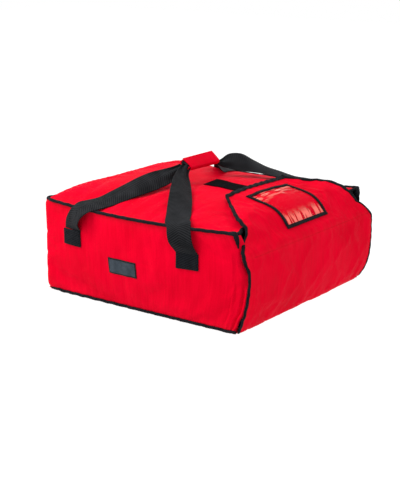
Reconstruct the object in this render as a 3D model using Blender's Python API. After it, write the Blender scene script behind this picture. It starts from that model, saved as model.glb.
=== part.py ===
"""Insulated delivery bag for flat boxes, built from its separate pieces.

Metres, +Z up, the mouth faces -Y and the bag stands on its bottom panel.
Every wall is three sheets: an outer cloth, a foam pad and a lining. A padded
flap starts at the foot of the mouth, covers it, folds over the shoulder and
is held on the top by hook and loop tape. Two webbing straps cross the bag
and meet in a wrapped hand grip.
"""

from math import cos, pi, radians, sin

import bpy
import numpy as np

# Box of the bag, measured between the seams
BAG_WIDTH = 0.476
BAG_DEPTH = 0.508
EDGE_HEIGHT = 0.206

# Sheets of a wall, from the outside in, and the gap kept between pieces
SHELL_CLOTH = 0.0012
PAD_FOAM = 0.0050
LINING_CLOTH = 0.0008
SEAM_GAP = 0.0003
LAYER_GAP = 0.0005
ROOF_GAP = 0.0006
RIM_SPARE = 0.0050

# Soft swelling of the walls
SIDE_BULGE = 0.016
TOP_EDGE_BOW = 0.020
EDGE_SAG = 0.004
TOP_DOME = 0.035
BACK_BULGE = 0.008
MOUTH_BOW = 0.024
MOUTH_RECESS = 0.024
DOME_ALONG_SHARES = (0.0, 0.06, 0.15, 0.30, 0.50, 0.65, 0.77, 0.83, 0.875, 0.925, 0.965, 1.0)
DOME_RISE_SHARES = (0.0, 0.33, 0.66, 0.92, 1.0, 0.985, 0.91, 0.77, 0.62, 0.38, 0.12, 0.0)
MOUTH_HEIGHT_SHARES = (0.0, 0.10, 0.22, 0.53, 0.78, 1.0)
MOUTH_REACH_SHARES = (0.0, 0.13, 0.50, 1.0, 0.86, 0.0)

# Flap: its crease, its foot's lift off the ground and its lap onto the top
CREASE_HEIGHT = 0.160
CREASE_REACH = 0.039
FOOT_LIFT = 0.0005
FLAP_HALF_WIDTH = 0.241
FLAP_TIP_HALF = 0.107
FLAP_LAP = 0.118
FLAP_DROP = 0.003
FRONT_BELLY = 0.005
FRONT_HEIGHT_SHARES = (0.0, 0.10, 0.29, 0.525, 0.71, 0.89, 1.0)
FRONT_REACH_SHARES = (0.0, 0.25, 0.62, 0.89, 1.0, 1.02, 1.0)
FLAP_RUN_SHARES = (0.0, 0.057, 0.153, 0.236, 0.350, 0.490, 0.796, 1.0)
FLAP_RISE_SHARES = (0.0, 0.180, 0.340, 0.543, 0.725, 0.842, 0.952, 1.0)
FLAP_ALONG_SHARES = (0.0, 0.10, 0.20, 0.32, 0.43, 0.57, 0.83, 1.0)
FLAP_SIDE_SHARES = (1.0, 0.97, 0.885, 0.846, 0.817, 0.763, 0.573)

# Tapes, bindings and piping
TAPE_WIDTH = 0.050
TAPE_THICKNESS = 0.0015
LOOP_STRIP_LENGTH = 0.158
HOOK_TAPE_LENGTH = 0.045
BINDING_THICKNESS = 0.0008
BINDING_LIP = 0.008
BINDING_GAP = 0.0008
PIPING_RADIUS = 0.0032
PIPING_LIFT = 0.0008

# Ticket window on the flap
WINDOW_WIDTH = 0.156
WINDOW_LENGTH = 0.118
WINDOW_FROM_TIP = 0.031
WINDOW_FRAME = 0.009
WINDOW_FRAME_THICKNESS = 0.0015
FILM_THICKNESS = 0.0004

# Blank patch on the left wall
LABEL_LENGTH = 0.076
LABEL_HEIGHT = 0.034
LABEL_THICKNESS = 0.0010
LABEL_MID_Y = 0.017
LABEL_MID_HEIGHT = 0.097

# Straps and their sewn ends
WEBBING_WIDTH = 0.050
WEBBING_THICKNESS = 0.0018
TAB_HEIGHT = 0.032
TAB_TOP = 0.154
TAB_FROM_BACK = 0.094
TAB_FROM_MOUTH = 0.106

# Strap legs: they stand off the wall, lean inwards over the edge, then run to the grip
LEG_FLARE = 0.006
LEG_LEAN = 0.012
LEG_CORNER_SHARE = 0.8
LEG_SPREAD_SHARES = (1.01, 1.05, 1.09, 1.14)
LEG_RUN_SHARES = (0.13, 0.27, 0.40, 0.55, 0.70, 0.82, 0.92)
LEG_CLIMB_SHARES = (0.17, 0.30, 0.42, 0.55, 0.66, 0.75, 0.87)
LEG_TURN_SHARES = (0.5, 1.0, 1.0, 1.0, 0.8, 0.5, 0.2)
LEG_TILT_SHARES = (0.08, 0.25, 0.50, 0.80, 1.0, 1.0, 1.0)
LEG_FOLD_SHARES = (0.0, 0.0, 0.0, 0.0, 0.10, 0.35, 0.75)
LEG_STEP_SHARE = 0.01

# Hand grip: a wrap of padded cloth around the two folded straps
GRIP_LENGTH = 0.110
GRIP_MID_X = 0.008
GRIP_MID_Y = 0.018
GRIP_LIFT = 0.043
GRIP_TILT = radians(38)
FOLDED_WIDTH = 0.023
FOLDED_THICKNESS = 0.0038
WRAP_THICKNESS = 0.0032
WRAP_TAPE = 0.0012
WRAP_LAP = 0.0105

# Counts of facets
WALL_SEGMENTS = 9
DEPTH_SEGMENTS = 13
TOP_SEGMENTS = 13
RISE_SEGMENTS = 8
FRONT_SEGMENTS = 10
FLAP_SEGMENTS = 12
EDGE_SEGMENTS = 13
PIPING_SIDES = 8
CORNER_SEGMENTS = 4
LEG_STEPS = 2

# Worked out from the sizes above
WALL_BUILD = SHELL_CLOTH + PAD_FOAM + LINING_CLOTH + 2 * LAYER_GAP
RIM_WIDTH = WALL_BUILD + RIM_SPARE
HALF_WIDTH = BAG_WIDTH / 2
HALF_DEPTH = BAG_DEPTH / 2
CROWN_HEIGHT = EDGE_HEIGHT - EDGE_SAG + TOP_DOME
FLAP_REST = WALL_BUILD + 2 * TAPE_THICKNESS + 3 * SEAM_GAP
FOOT_REACH = WALL_BUILD + SEAM_GAP
FRONT_SWELL = CREASE_REACH - FOOT_REACH
TAB_THICKNESS = 2 * WEBBING_THICKNESS
PIPING_OFFSET = PIPING_RADIUS + SEAM_GAP
GRIP_MID = np.array([GRIP_MID_X, GRIP_MID_Y, CROWN_HEIGHT + GRIP_LIFT])
GRIP_ACROSS = np.array([0.0, cos(GRIP_TILT), sin(GRIP_TILT)])
GRIP_OUT = np.array([0.0, -sin(GRIP_TILT), cos(GRIP_TILT)])
CORE_HALF_WIDTH = FOLDED_WIDTH / 2
CORE_HALF_HEIGHT = FOLDED_THICKNESS + SEAM_GAP / 2
WRAP_HALF_WIDTH = CORE_HALF_WIDTH + SEAM_GAP + WRAP_THICKNESS

LAYERS = (
    ("outer", 0.0, SHELL_CLOTH, "red_cloth"),
    ("pad", SHELL_CLOTH + LAYER_GAP, SHELL_CLOTH + LAYER_GAP + PAD_FOAM, "foam"),
    ("lining", WALL_BUILD - LINING_CLOTH, WALL_BUILD, "lining"),
)

MATERIALS = {
    "red_cloth": ((0.80, 0.004, 0.022), 0.72),
    "foam": ((0.86, 0.86, 0.84), 0.90),
    "lining": ((0.045, 0.045, 0.050), 0.65),
    "webbing": ((0.016, 0.018, 0.022), 0.80),
    "binding": ((0.010, 0.010, 0.013), 0.75),
    "tape": ((0.014, 0.015, 0.018), 0.95),
    "label": ((0.075, 0.095, 0.125), 0.55),
    "film": ((0.85, 0.80, 0.82), 0.10),
}

SOLIDS = []


def curve_through(share, knots, values):
    """Value at one share of the smooth curve through the knots."""
    knots = np.asarray(knots, float)
    values = np.asarray(values, float)
    slopes = np.gradient(values, knots, axis=0)
    i = int(np.clip(np.searchsorted(knots, share) - 1, 0, len(knots) - 2))
    span = knots[i + 1] - knots[i]
    t = min(max((share - knots[i]) / span, 0.0), 1.0)
    start = (2 * t**3 - 3 * t**2 + 1) * values[i] + (t**3 - 2 * t**2 + t) * span * slopes[i]
    end = (3 * t**2 - 2 * t**3) * values[i + 1] + (t**3 - t**2) * span * slopes[i + 1]
    return start + end


def unit(vector):
    """The vector at length one."""
    return vector / np.linalg.norm(vector)


def between(start, end, count):
    """Evenly spaced values from start to end."""
    return [start + (end - start) * k / count for k in range(count + 1)]


def rimmed(low, high, count):
    """Evenly spaced values whose first and last steps are one rim wide."""
    return [low] + between(low + RIM_WIDTH, high - RIM_WIDTH, count - 2) + [high]


def to_mouth():
    """Shares of the depth from the back to the mouth."""
    return [distance / BAG_DEPTH for distance in rimmed(0.0, BAG_DEPTH, DEPTH_SEGMENTS)]


def upwards():
    """Shares of the walls' height."""
    return [height / EDGE_HEIGHT for height in rimmed(0.0, EDGE_HEIGHT, RISE_SEGMENTS)]


def depth_share(y):
    """0 at the back seam and 1 at the mouth."""
    return min(max((HALF_DEPTH - y) / BAG_DEPTH, 0.0), 1.0)


def side_reach(y, z):
    """Distance of the side wall's outer face from the middle of the bag."""
    s = depth_share(y)
    t = min(max(z / EDGE_HEIGHT, 0.0), 1.0)
    return HALF_WIDTH + 4 * s * (1 - s) * (TOP_EDGE_BOW * t + SIDE_BULGE * sin(pi * t))


def back_reach(x, z):
    """Y of the back wall's outer face."""
    s = (x + HALF_WIDTH) / BAG_WIDTH
    return HALF_DEPTH + 4 * s * (1 - s) * BACK_BULGE * sin(pi * min(z / EDGE_HEIGHT, 1.0))


def mouth_front(z):
    """Y of the side walls' front edge, which bows forward."""
    t = min(max(z / EDGE_HEIGHT, 0.0), 1.0)
    return -HALF_DEPTH - MOUTH_BOW * curve_through(t, MOUTH_HEIGHT_SHARES, MOUTH_REACH_SHARES)


def edge_line(y):
    """Height of the seam between a side wall and the top."""
    s = depth_share(y)
    return EDGE_HEIGHT - 4 * s * (1 - s) * EDGE_SAG


def top_height(x, y):
    """Height of the top's outer face, a dome that comes down to the mouth."""
    across = abs(x) / side_reach(y, EDGE_HEIGHT)
    rise = curve_through(depth_share(y), DOME_ALONG_SHARES, DOME_RISE_SHARES)
    return edge_line(y) + TOP_DOME * rise * (1 - across**2)


def flap_half_width(along):
    """Half width of the upper flap, from the crease at 0 to its tip at 1."""
    sides = [share * FLAP_HALF_WIDTH for share in FLAP_SIDE_SHARES] + [FLAP_TIP_HALF]
    return curve_through(along, FLAP_ALONG_SHARES, sides)


def flap_profile():
    """Points of the upper flap's middle line, as y and z, from crease to tip."""
    run = CREASE_REACH + FLAP_LAP
    rise = CROWN_HEIGHT + FLAP_REST - CREASE_HEIGHT
    ys = [-HALF_DEPTH - CREASE_REACH + run * share for share in FLAP_RUN_SHARES]
    zs = [CREASE_HEIGHT + rise * share for share in FLAP_RISE_SHARES]
    return np.array([ys, zs]).T


PROFILE = flap_profile()
PROFILE_STEPS = np.linalg.norm(np.diff(PROFILE, axis=0), axis=1)
PROFILE_LENGTH = float(PROFILE_STEPS.sum())
PROFILE_KNOTS = np.concatenate([[0.0], np.cumsum(PROFILE_STEPS)]) / PROFILE_LENGTH
NORMAL_STEP_SHARE = 0.004


def front_line(z):
    """Y and z of the front flap's middle line, without its belly."""
    t = min(max(z / CREASE_HEIGHT, 0.0), 1.0)
    reach = FOOT_REACH + FRONT_SWELL * curve_through(t, FRONT_HEIGHT_SHARES, FRONT_REACH_SHARES)
    return np.array([-HALF_DEPTH - reach, z])


def turned_out(tangent):
    """Outward normal of a line that runs up the front, as y and z."""
    return np.array([-tangent[1], tangent[0]]) / np.linalg.norm(tangent)


def crease_normal():
    """Outward direction shared by the two flap panels where they meet."""
    top = curve_through(NORMAL_STEP_SHARE, PROFILE_KNOTS, PROFILE) - PROFILE[0]
    below = front_line(CREASE_HEIGHT) - front_line(CREASE_HEIGHT * (1 - NORMAL_STEP_SHARE))
    return unit(turned_out(top) + turned_out(below))


def flap_top_point(x, along, depth):
    """A point of the upper flap, at a depth below its outer face."""
    here = curve_through(along, PROFILE_KNOTS, PROFILE)
    back = curve_through(max(along - NORMAL_STEP_SHARE, 0.0), PROFILE_KNOTS, PROFILE)
    ahead = curve_through(min(along + NORMAL_STEP_SHARE, 1.0), PROFILE_KNOTS, PROFILE)
    normal = turned_out(ahead - back)
    if along < NORMAL_STEP_SHARE:
        normal = crease_normal()
    drop = FLAP_DROP * along * (x / FLAP_TIP_HALF) ** 2
    y, z = here - normal * depth
    return np.array([x, y, z - drop])


def flap_facet_point(x, along, depth):
    """A point on the flat facets that make up the upper flap."""
    line = min(int(along * FLAP_SEGMENTS), FLAP_SEGMENTS - 1)
    share = along * FLAP_SEGMENTS - line
    start = flap_top_point(x, line / FLAP_SEGMENTS, depth)
    end = flap_top_point(x, (line + 1) / FLAP_SEGMENTS, depth)
    return start * (1 - share) + end * share


def flap_front_point(x, z, depth):
    """A point of the lower flap, at a depth behind its outer face."""
    step = CREASE_HEIGHT * NORMAL_STEP_SHARE
    normal = turned_out(front_line(z + step) - front_line(max(z - step, 0.0)))
    if z > CREASE_HEIGHT - step:
        normal = crease_normal()
    if z < step:
        normal = np.array([-1.0, 0.0])
    belly = FRONT_BELLY * sin(pi * min(z / CREASE_HEIGHT, 1.0)) * (1 - (x / FLAP_HALF_WIDTH) ** 2)
    y, height = front_line(z) - normal * depth
    return np.array([x, y - belly, height])


def slab(outer, inner):
    """Vertices and faces of a closed sheet between two grids of points.

    Every cell and every piece of the rim is split along the same diagonal, so that sheets nest.
    """
    outer = np.asarray(outer)
    inner = np.asarray(inner)
    rows, cols = outer.shape[:2]
    half = rows * cols
    verts = np.concatenate([outer.reshape(-1, 3), inner.reshape(-1, 3)])
    faces = []
    for r in range(rows - 1):
        for c in range(cols - 1):
            near = r * cols + c
            across = near + cols + 1
            for side in (near + cols, near + 1):
                ring = (near, side, across) if side > near + 1 else (near, across, side)
                faces.append(ring)
                faces.append(tuple(half + k for k in reversed(ring)))
    rim = [r * cols for r in range(rows)]
    rim += [(rows - 1) * cols + c for c in range(1, cols)]
    rim += [r * cols + cols - 1 for r in range(rows - 2, -1, -1)]
    rim += list(range(cols - 2, 0, -1))
    for here, following in zip(rim, rim[1:] + rim[:1]):
        below, beyond = half + here, half + following
        if here < following:
            faces += [(following, here, beyond), (here, below, beyond)]
        else:
            faces += [(following, here, below), (following, below, beyond)]
    return verts, faces


def sweep(rings, closed=False):
    """Vertices and faces of a bar through rings of an even number of points.

    The first half of a ring lies over the second. Cells that lie over each other are split along
    the same diagonal, so that a thin bar never passes through itself where it twists.
    """
    rings = np.asarray(rings)
    count, sides = rings.shape[:2]
    cells = count if closed else count - 1
    faces = []
    for k in range(cells):
        ahead = (k + 1) % count
        for i in range(sides):
            here, beside = k * sides + i, k * sides + (i + 1) % sides
            over, across = ahead * sides + i, ahead * sides + (i + 1) % sides
            if i < sides // 2:
                faces += [(here, beside, across), (here, across, over)]
            else:
                faces += [(here, beside, over), (beside, across, over)]
    if not closed:
        last = (count - 1) * sides
        for i in range(sides // 2 - 1):
            j = sides - 1 - i
            faces.append((j, j - 1, i + 1, i))
            faces.append((last + i, last + i + 1, last + j - 1, last + j))
    return rings.reshape(-1, 3), faces


def signed_volume(verts, faces):
    """Volume inside the faces, negative when they point inwards."""
    total = 0.0
    for face in faces:
        for k in range(1, len(face) - 1):
            a, b, c = verts[face[0]], verts[face[k]], verts[face[k + 1]]
            total += float(np.dot(a, np.cross(b, c)))
    return total


def keep_solid(name, body, material, shape):
    """Note one solid, to be placed when the whole bag's size is known."""
    verts, faces = shape
    if signed_volume(verts, faces) < 0:
        faces = [tuple(reversed(face)) for face in faces]
    SOLIDS.append((name, body, material, verts, faces))


def grid(first, second, point):
    """Rows of points over two lists of values."""
    return [[point(a, b) for b in second] for a in first]


def both_faces(first, second, near, far, point):
    """Grids of a sheet's outer and inner faces, at their two depths."""
    outer = grid(first, second, lambda a, b: point(a, b, near))
    inner = grid(first, second, lambda a, b: point(a, b, far))
    return outer, inner


def side_wall(sign, near, far):
    """Both faces of one layer of a side wall, from back to mouth and upwards."""
    def point(along, up, depth):
        y_top = HALF_DEPTH - BAG_DEPTH * along
        x_top = side_reach(y_top, EDGE_HEIGHT - far) - depth
        roof = top_height(x_top, y_top) - far - ROOF_GAP
        z = min(max(up * edge_line(y_top), far + SEAM_GAP), roof)
        y = min(HALF_DEPTH * (1 - along) + mouth_front(z) * along, HALF_DEPTH - near)
        return np.array([sign * (side_reach(y, z) - depth), y, z])

    return both_faces(to_mouth(), upwards(), near, far, point)


def back_wall(near, far):
    """Both faces of one layer of the back wall, which stands between the side walls."""
    def point(across, up, depth):
        limit = HALF_WIDTH - far - SEAM_GAP
        x = min(max(across * HALF_WIDTH, -limit), limit)
        roof = top_height(x, HALF_DEPTH - depth) - far - ROOF_GAP
        z = min(max(up * EDGE_HEIGHT, far + SEAM_GAP), roof)
        return np.array([x, back_reach(x, z) - depth, z])

    acrosses = [x / HALF_WIDTH for x in rimmed(-HALF_WIDTH, HALF_WIDTH, WALL_SEGMENTS)]
    return both_faces(acrosses, upwards(), near, far, point)


def top_panel(near, far):
    """Both faces of one layer of the domed top, across and from back to mouth."""
    def point(across, along, depth):
        y = min(HALF_DEPTH - (BAG_DEPTH - MOUTH_RECESS) * along, HALF_DEPTH - near)
        reach = side_reach(y, EDGE_HEIGHT)
        x = min(max(across * reach, near - reach), reach - near)
        return np.array([x, y, top_height(x, y) - depth])

    acrosses = [x / HALF_WIDTH for x in rimmed(-HALF_WIDTH, HALF_WIDTH, TOP_SEGMENTS)]
    return both_faces(acrosses, to_mouth(), near, far, point)


def bottom_panel(near, far):
    """Both faces of one layer of the flat bottom."""
    xs = (near - HALF_WIDTH, HALF_WIDTH - near)
    ys = (-HALF_DEPTH, HALF_DEPTH - near)
    return both_faces(xs, ys, near, far, lambda x, y, depth: np.array([x, y, depth]))


def flap_front_panel(near, far):
    """Both faces of one layer of the lower flap, across and upwards."""
    def point(across, z, depth):
        place = flap_front_point(across * FLAP_HALF_WIDTH, z, depth)
        place[2] -= SEAM_GAP * z / CREASE_HEIGHT
        return place

    acrosses = between(-1.0, 1.0, WALL_SEGMENTS)
    heights = between(FOOT_LIFT, CREASE_HEIGHT, FRONT_SEGMENTS)
    return both_faces(acrosses, heights, near, far, point)


def flap_top_panel(near, far):
    """Both faces of one layer of the upper flap, across and from crease to tip."""
    def point(across, along, depth):
        return flap_top_point(across * flap_half_width(along), along, depth)

    acrosses = between(-1.0, 1.0, WALL_SEGMENTS)
    alongs = between(0.0, 1.0, FLAP_SEGMENTS)
    return both_faces(acrosses, alongs, near, far, point)


def make_panels():
    """The bag's five walls and the flap's two stiff panels, each of three layers."""
    makers = {
        "bottom": ("bag", bottom_panel),
        "left": ("bag", lambda near, far: side_wall(-1, near, far)),
        "right": ("bag", lambda near, far: side_wall(1, near, far)),
        "back": ("bag", back_wall),
        "top": ("bag", top_panel),
        "flap_front": ("flap_front", flap_front_panel),
        "flap_top": ("flap_top", flap_top_panel),
    }
    faces = {}
    for place, (body, maker) in makers.items():
        for layer, near, far, material in LAYERS:
            outer, inner = maker(near, far)
            keep_solid(layer + "_" + place, body, material, slab(outer, inner))
            faces.setdefault(place, [outer, inner])[1] = inner
    return faces


def binding(faces, stations):
    """Binding folded over an edge, from places on a panel's grid.

    A station gives the grid place on the edge and one further in.
    """
    rings = []
    for edge, inside in stations:
        edge_outer, edge_inner = (face[edge[0]][edge[1]] for face in faces)
        lip_outer, lip_inner = (
            face[edge[0]][edge[1]] + unit(face[inside[0]][inside[1]] - face[edge[0]][edge[1]]) * BINDING_LIP
            for face in faces
        )
        away = unit(edge_outer - lip_outer)
        through = edge_outer - edge_inner
        out = unit(through - away * np.dot(through, away))
        halves = []
        for offset in (BINDING_GAP + BINDING_THICKNESS, BINDING_GAP):
            halves.append(
                [
                    lip_outer + out * offset,
                    edge_outer + (out + away) * offset,
                    edge_inner + (away - out) * offset,
                    lip_inner - out * offset,
                ]
            )
        rings.append(halves[0] + halves[1][::-1])
    return sweep(rings)


def make_bindings(faces):
    """Bindings on the free edges of the mouth and of the flap."""
    rises = range(1, RISE_SEGMENTS)
    front = DEPTH_SEGMENTS
    for side in ("left", "right"):
        stations = [((front, j), (front - 1, j)) for j in rises]
        keep_solid("mouth_binding_" + side, "bag", "binding", binding(faces[side], stations))
    stations = [((i, front), (i, front - 1)) for i in range(1, TOP_SEGMENTS)]
    keep_solid("mouth_binding_top", "bag", "binding", binding(faces["top"], stations))
    last = WALL_SEGMENTS
    left = [((0, j), (1, j)) for j in range(1, FRONT_SEGMENTS)]
    right = [((last, j), (last - 1, j)) for j in range(1, FRONT_SEGMENTS)]
    keep_solid("flap_binding_left", "flap_front", "binding", binding(faces["flap_front"], left))
    keep_solid("flap_binding_right", "flap_front", "binding", binding(faces["flap_front"], right))
    tip = FLAP_SEGMENTS
    left = [((0, j), (1, j)) for j in range(1, tip)]
    across = [((i, tip), (min(max(i, 1), last - 1), tip - 1)) for i in range(last + 1)]
    right = [((last, j), (last - 1, j)) for j in range(tip - 1, 0, -1)]
    around = binding(faces["flap_top"], left + across + right)
    keep_solid("flap_binding_top", "flap_top", "binding", around)


def piping_ring(centre, outward, up):
    """Circle of the piping about a point of its path."""
    ring = []
    for k in range(PIPING_SIDES):
        angle = 2 * pi * (k + 0.5) / PIPING_SIDES
        ring.append(centre + PIPING_RADIUS * (cos(angle) * outward + sin(angle) * up))
    return ring


def back_piping(seam_height, offset_side, offset_up):
    """Rings of the piping around both back corners and across the back."""
    up = np.array([0.0, 0.0, 1.0])
    turns = between(0.0, pi / 2, CORNER_SEGMENTS)[1:]
    left = [(-HALF_WIDTH, -cos(turn), sin(turn)) for turn in turns]
    middle = [(x, 0.0, 1.0) for x in between(-HALF_WIDTH, HALF_WIDTH, WALL_SEGMENTS)[1:-1]]
    right = [(-x, -out_x, out_y) for x, out_x, out_y in left[::-1]]
    rings = []
    for x, out_x, out_y in left + middle + right:
        outward = np.array([out_x, out_y, 0.0])
        corner = np.array([x, back_reach(x, seam_height), seam_height + offset_up])
        rings.append(piping_ring(corner + outward * offset_side, outward, up))
    return rings


def piping(corner_height, offset_side, offset_up):
    """Piping along the left, back and right edges, as one cord."""
    up = np.array([0.0, 0.0, 1.0])
    rings = []
    ys = between(-HALF_DEPTH, HALF_DEPTH, EDGE_SEGMENTS)
    for sign in (-1, 1):
        for y in ys if sign < 0 else ys[::-1]:
            x = sign * (side_reach(y, corner_height(y)) + offset_side)
            centre = np.array([x, y, corner_height(y) + offset_up])
            rings.append(piping_ring(centre, np.array([sign, 0.0, 0.0]), up))
        if sign < 0:
            rings += back_piping(corner_height(HALF_DEPTH), offset_side, offset_up)
    return sweep(rings)


def make_piping():
    """Piping in the top and bottom seams."""
    diagonal = PIPING_OFFSET * cos(pi / 4)
    keep_solid("piping_top", "bag", "binding", piping(edge_line, diagonal, diagonal))
    low = PIPING_RADIUS + PIPING_LIFT
    keep_solid("piping_bottom", "bag", "binding", piping(lambda y: low, PIPING_OFFSET, 0.0))


def top_strip():
    """Loop tape that runs from the middle of the top to under the flap."""
    front = -HALF_DEPTH + FLAP_LAP - WINDOW_FROM_TIP - BINDING_LIP
    xs = between(-TAPE_WIDTH / 2, TAPE_WIDTH / 2, 2)
    ys = between(front, front + LOOP_STRIP_LENGTH, FLAP_SEGMENTS)
    lower = grid(xs, ys, lambda x, y: (x, y, top_height(x, y) + SEAM_GAP))
    upper = grid(xs, ys, lambda x, y: (x, y, top_height(x, y) + SEAM_GAP + TAPE_THICKNESS))
    return slab(lower, upper)


def hook_tape():
    """Hook tape under the tip of the flap."""
    end = 1.0 - (BINDING_LIP + 4 * SEAM_GAP) / PROFILE_LENGTH
    start = end - HOOK_TAPE_LENGTH / PROFILE_LENGTH
    xs = between(-TAPE_WIDTH / 2, TAPE_WIDTH / 2, 2)
    alongs = between(start, end, 4)
    near = WALL_BUILD + LAYER_GAP
    outer = grid(xs, alongs, lambda x, along: flap_facet_point(x, along, near))
    inner = grid(xs, alongs, lambda x, along: flap_facet_point(x, along, near + TAPE_THICKNESS))
    return slab(outer, inner)


def window_spans():
    """Half width and both ends of the window's frame on the flap."""
    high = 1.0 - WINDOW_FROM_TIP / PROFILE_LENGTH
    low = high - WINDOW_LENGTH / PROFILE_LENGTH
    return WINDOW_WIDTH / 2, low, high


def window_film():
    """Clear film inside the frame."""
    half, low, high = window_spans()
    inset = WINDOW_FRAME + SEAM_GAP
    along_inset = inset / PROFILE_LENGTH
    xs = between(inset - half, half - inset, 6)
    alongs = between(low + along_inset, high - along_inset, FLAP_SEGMENTS)
    outer = grid(xs, alongs, lambda x, a: flap_facet_point(x, a, -BINDING_GAP - FILM_THICKNESS))
    inner = grid(xs, alongs, lambda x, a: flap_facet_point(x, a, -BINDING_GAP))
    return slab(outer, inner)


def window_frame():
    """Binding tape around the film, as one closed ring."""
    half, low, high = window_spans()
    along_inset = WINDOW_FRAME / PROFILE_LENGTH
    corners = ((-1, 0), (1, 0), (1, 1), (-1, 1))
    counts = (6, FLAP_SEGMENTS, 6, FLAP_SEGMENTS)
    rings = []
    for k, count in enumerate(counts):
        (x0, v0), (x1, v1) = corners[k], corners[(k + 1) % 4]
        for step in range(count):
            t = step / count
            x = x0 + (x1 - x0) * t
            v = v0 + (v1 - v0) * t
            edge = (x * half, low + (high - low) * v)
            inside_low = low + along_inset
            inside = (x * (half - WINDOW_FRAME), inside_low + (high - low - 2 * along_inset) * v)
            top = -BINDING_GAP - WINDOW_FRAME_THICKNESS
            ring = [flap_facet_point(*edge, -BINDING_GAP), flap_facet_point(*inside, -BINDING_GAP)]
            ring += [flap_facet_point(*inside, top), flap_facet_point(*edge, top)]
            rings.append(ring)
    return sweep(rings, closed=True)


def wall_patch(sign, mid_y, length, bottom, top, thickness):
    """A flat piece that lies on a side wall and follows its bulge."""
    ys = between(mid_y - length / 2, mid_y + length / 2, 6)
    zs = between(bottom, top, 4)

    def point(y, z, lift):
        return np.array([sign * (side_reach(y, z) + SEAM_GAP + lift), y, z])

    outer = grid(ys, zs, lambda y, z: point(y, z, thickness))
    inner = grid(ys, zs, lambda y, z: point(y, z, 0.0))
    return slab(outer, inner)


def make_fittings():
    """Tapes, window, side patch and the straps' sewn ends."""
    keep_solid("top_loop_strip", "bag", "tape", top_strip())
    keep_solid("flap_hook_tape", "flap_top", "tape", hook_tape())
    keep_solid("window_film", "flap_top", "film", window_film())
    keep_solid("window_frame", "flap_top", "binding", window_frame())
    low = LABEL_MID_HEIGHT - LABEL_HEIGHT / 2
    patch = wall_patch(-1, LABEL_MID_Y, LABEL_LENGTH, low, low + LABEL_HEIGHT, LABEL_THICKNESS)
    keep_solid("side_label", "bag", "label", patch)
    for side, sign in (("left", -1), ("right", 1)):
        for place, end in (("front", -1), ("back", 1)):
            foot = TAB_TOP - TAB_HEIGHT
            tab = wall_patch(sign, tab_middle(end), WEBBING_WIDTH, foot, TAB_TOP, TAB_THICKNESS)
            keep_solid("strap_tab_" + side + "_" + place, "bag", "webbing", tab)


def grip_point(along, across, out):
    """A point in the grip's own directions."""
    return GRIP_MID + np.array([along, 0.0, 0.0]) + across * GRIP_ACROSS + out * GRIP_OUT


def grip_bar(section):
    """A straight bar through the grip's length with the given section."""
    rings = []
    for along in (-GRIP_LENGTH / 2, GRIP_LENGTH / 2):
        rings.append([grip_point(along, across, out) for across, out in section])
    return sweep(rings)


def strap_level(end):
    """Height of a strap's middle in the grip; the front strap lies on top."""
    return -end * (FOLDED_THICKNESS + SEAM_GAP) / 2


def folded_strap(end):
    """The folded middle of a strap, inside the grip."""
    level = strap_level(end)
    low, high = level - FOLDED_THICKNESS / 2, level + FOLDED_THICKNESS / 2
    width = CORE_HALF_WIDTH
    return grip_bar([(-width, low), (width, low), (width, high), (-width, high)])


def wrap_base():
    """The part of the wrap that lies under and beside the straps."""
    inner = CORE_HALF_WIDTH + SEAM_GAP
    outer = inner + WRAP_THICKNESS
    roof = CORE_HALF_HEIGHT
    floor = -CORE_HALF_HEIGHT - SEAM_GAP
    under = floor - WRAP_THICKNESS
    outline = [(-outer, roof), (-outer, under), (outer, under), (outer, roof)]
    outline += [(inner, roof), (inner, floor), (-inner, floor), (-inner, roof)]
    return grip_bar(outline)


def wrap_cover():
    """The part of the wrap that closes over the straps and laps down in front."""
    low = CORE_HALF_HEIGHT + SEAM_GAP
    high = low + WRAP_THICKNESS
    inner = WRAP_HALF_WIDTH + 3 * SEAM_GAP + 2 * WRAP_TAPE
    outer = inner + WRAP_THICKNESS
    foot = low - WRAP_LAP
    outline = [(WRAP_HALF_WIDTH, high), (-outer, high), (-outer, foot)]
    outline += [(-inner, foot), (-inner, low), (WRAP_HALF_WIDTH, low)]
    return grip_bar(outline)


def wrap_tape(start):
    """A strip of tape between the wrap's base and its lap."""
    high = CORE_HALF_HEIGHT - SEAM_GAP
    low = CORE_HALF_HEIGHT + SEAM_GAP - WRAP_LAP
    end = start + WRAP_TAPE
    return grip_bar([(-start, high), (-end, high), (-end, low), (-start, low)])


def tab_middle(end):
    """Y of the middle of a strap's sewn ends."""
    return HALF_DEPTH - TAB_FROM_BACK if end > 0 else TAB_FROM_MOUTH - HALF_DEPTH


def leg_over_edge(sign, end):
    """Centres and half widths of a leg from its sewn end over the top's edge."""
    foot_y = tab_middle(end)
    lean_y = foot_y - end * LEG_LEAN
    over = PIPING_OFFSET * cos(pi / 4) + PIPING_RADIUS + LAYER_GAP + WEBBING_THICKNESS
    edge = edge_line(lean_y)
    reach = side_reach(lean_y, edge)
    middle = (TAB_TOP + edge) / 2
    start_x = side_reach(foot_y, TAB_TOP) + SEAM_GAP + TAB_THICKNESS / 2
    centres = [
        np.array([sign * start_x, foot_y, TAB_TOP + SEAM_GAP]),
        np.array([sign * (reach + over + LEG_FLARE), (foot_y + lean_y) / 2, middle]),
        np.array([sign * (reach + over + LEG_FLARE / 2), lean_y, edge]),
        np.array([sign * (reach + over * LEG_CORNER_SHARE), lean_y, edge + over * LEG_CORNER_SHARE]),
        np.array([sign * reach, lean_y - end * over, edge + over]),
    ]
    half = WEBBING_WIDTH / 2
    ahead = side_reach(foot_y + half, TAB_TOP) - side_reach(foot_y - half, TAB_TOP)
    along_wall = unit(np.array([sign * ahead, WEBBING_WIDTH, 0.0])) * half
    return centres, [along_wall] + [along_wall * share for share in LEG_SPREAD_SHARES]


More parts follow.
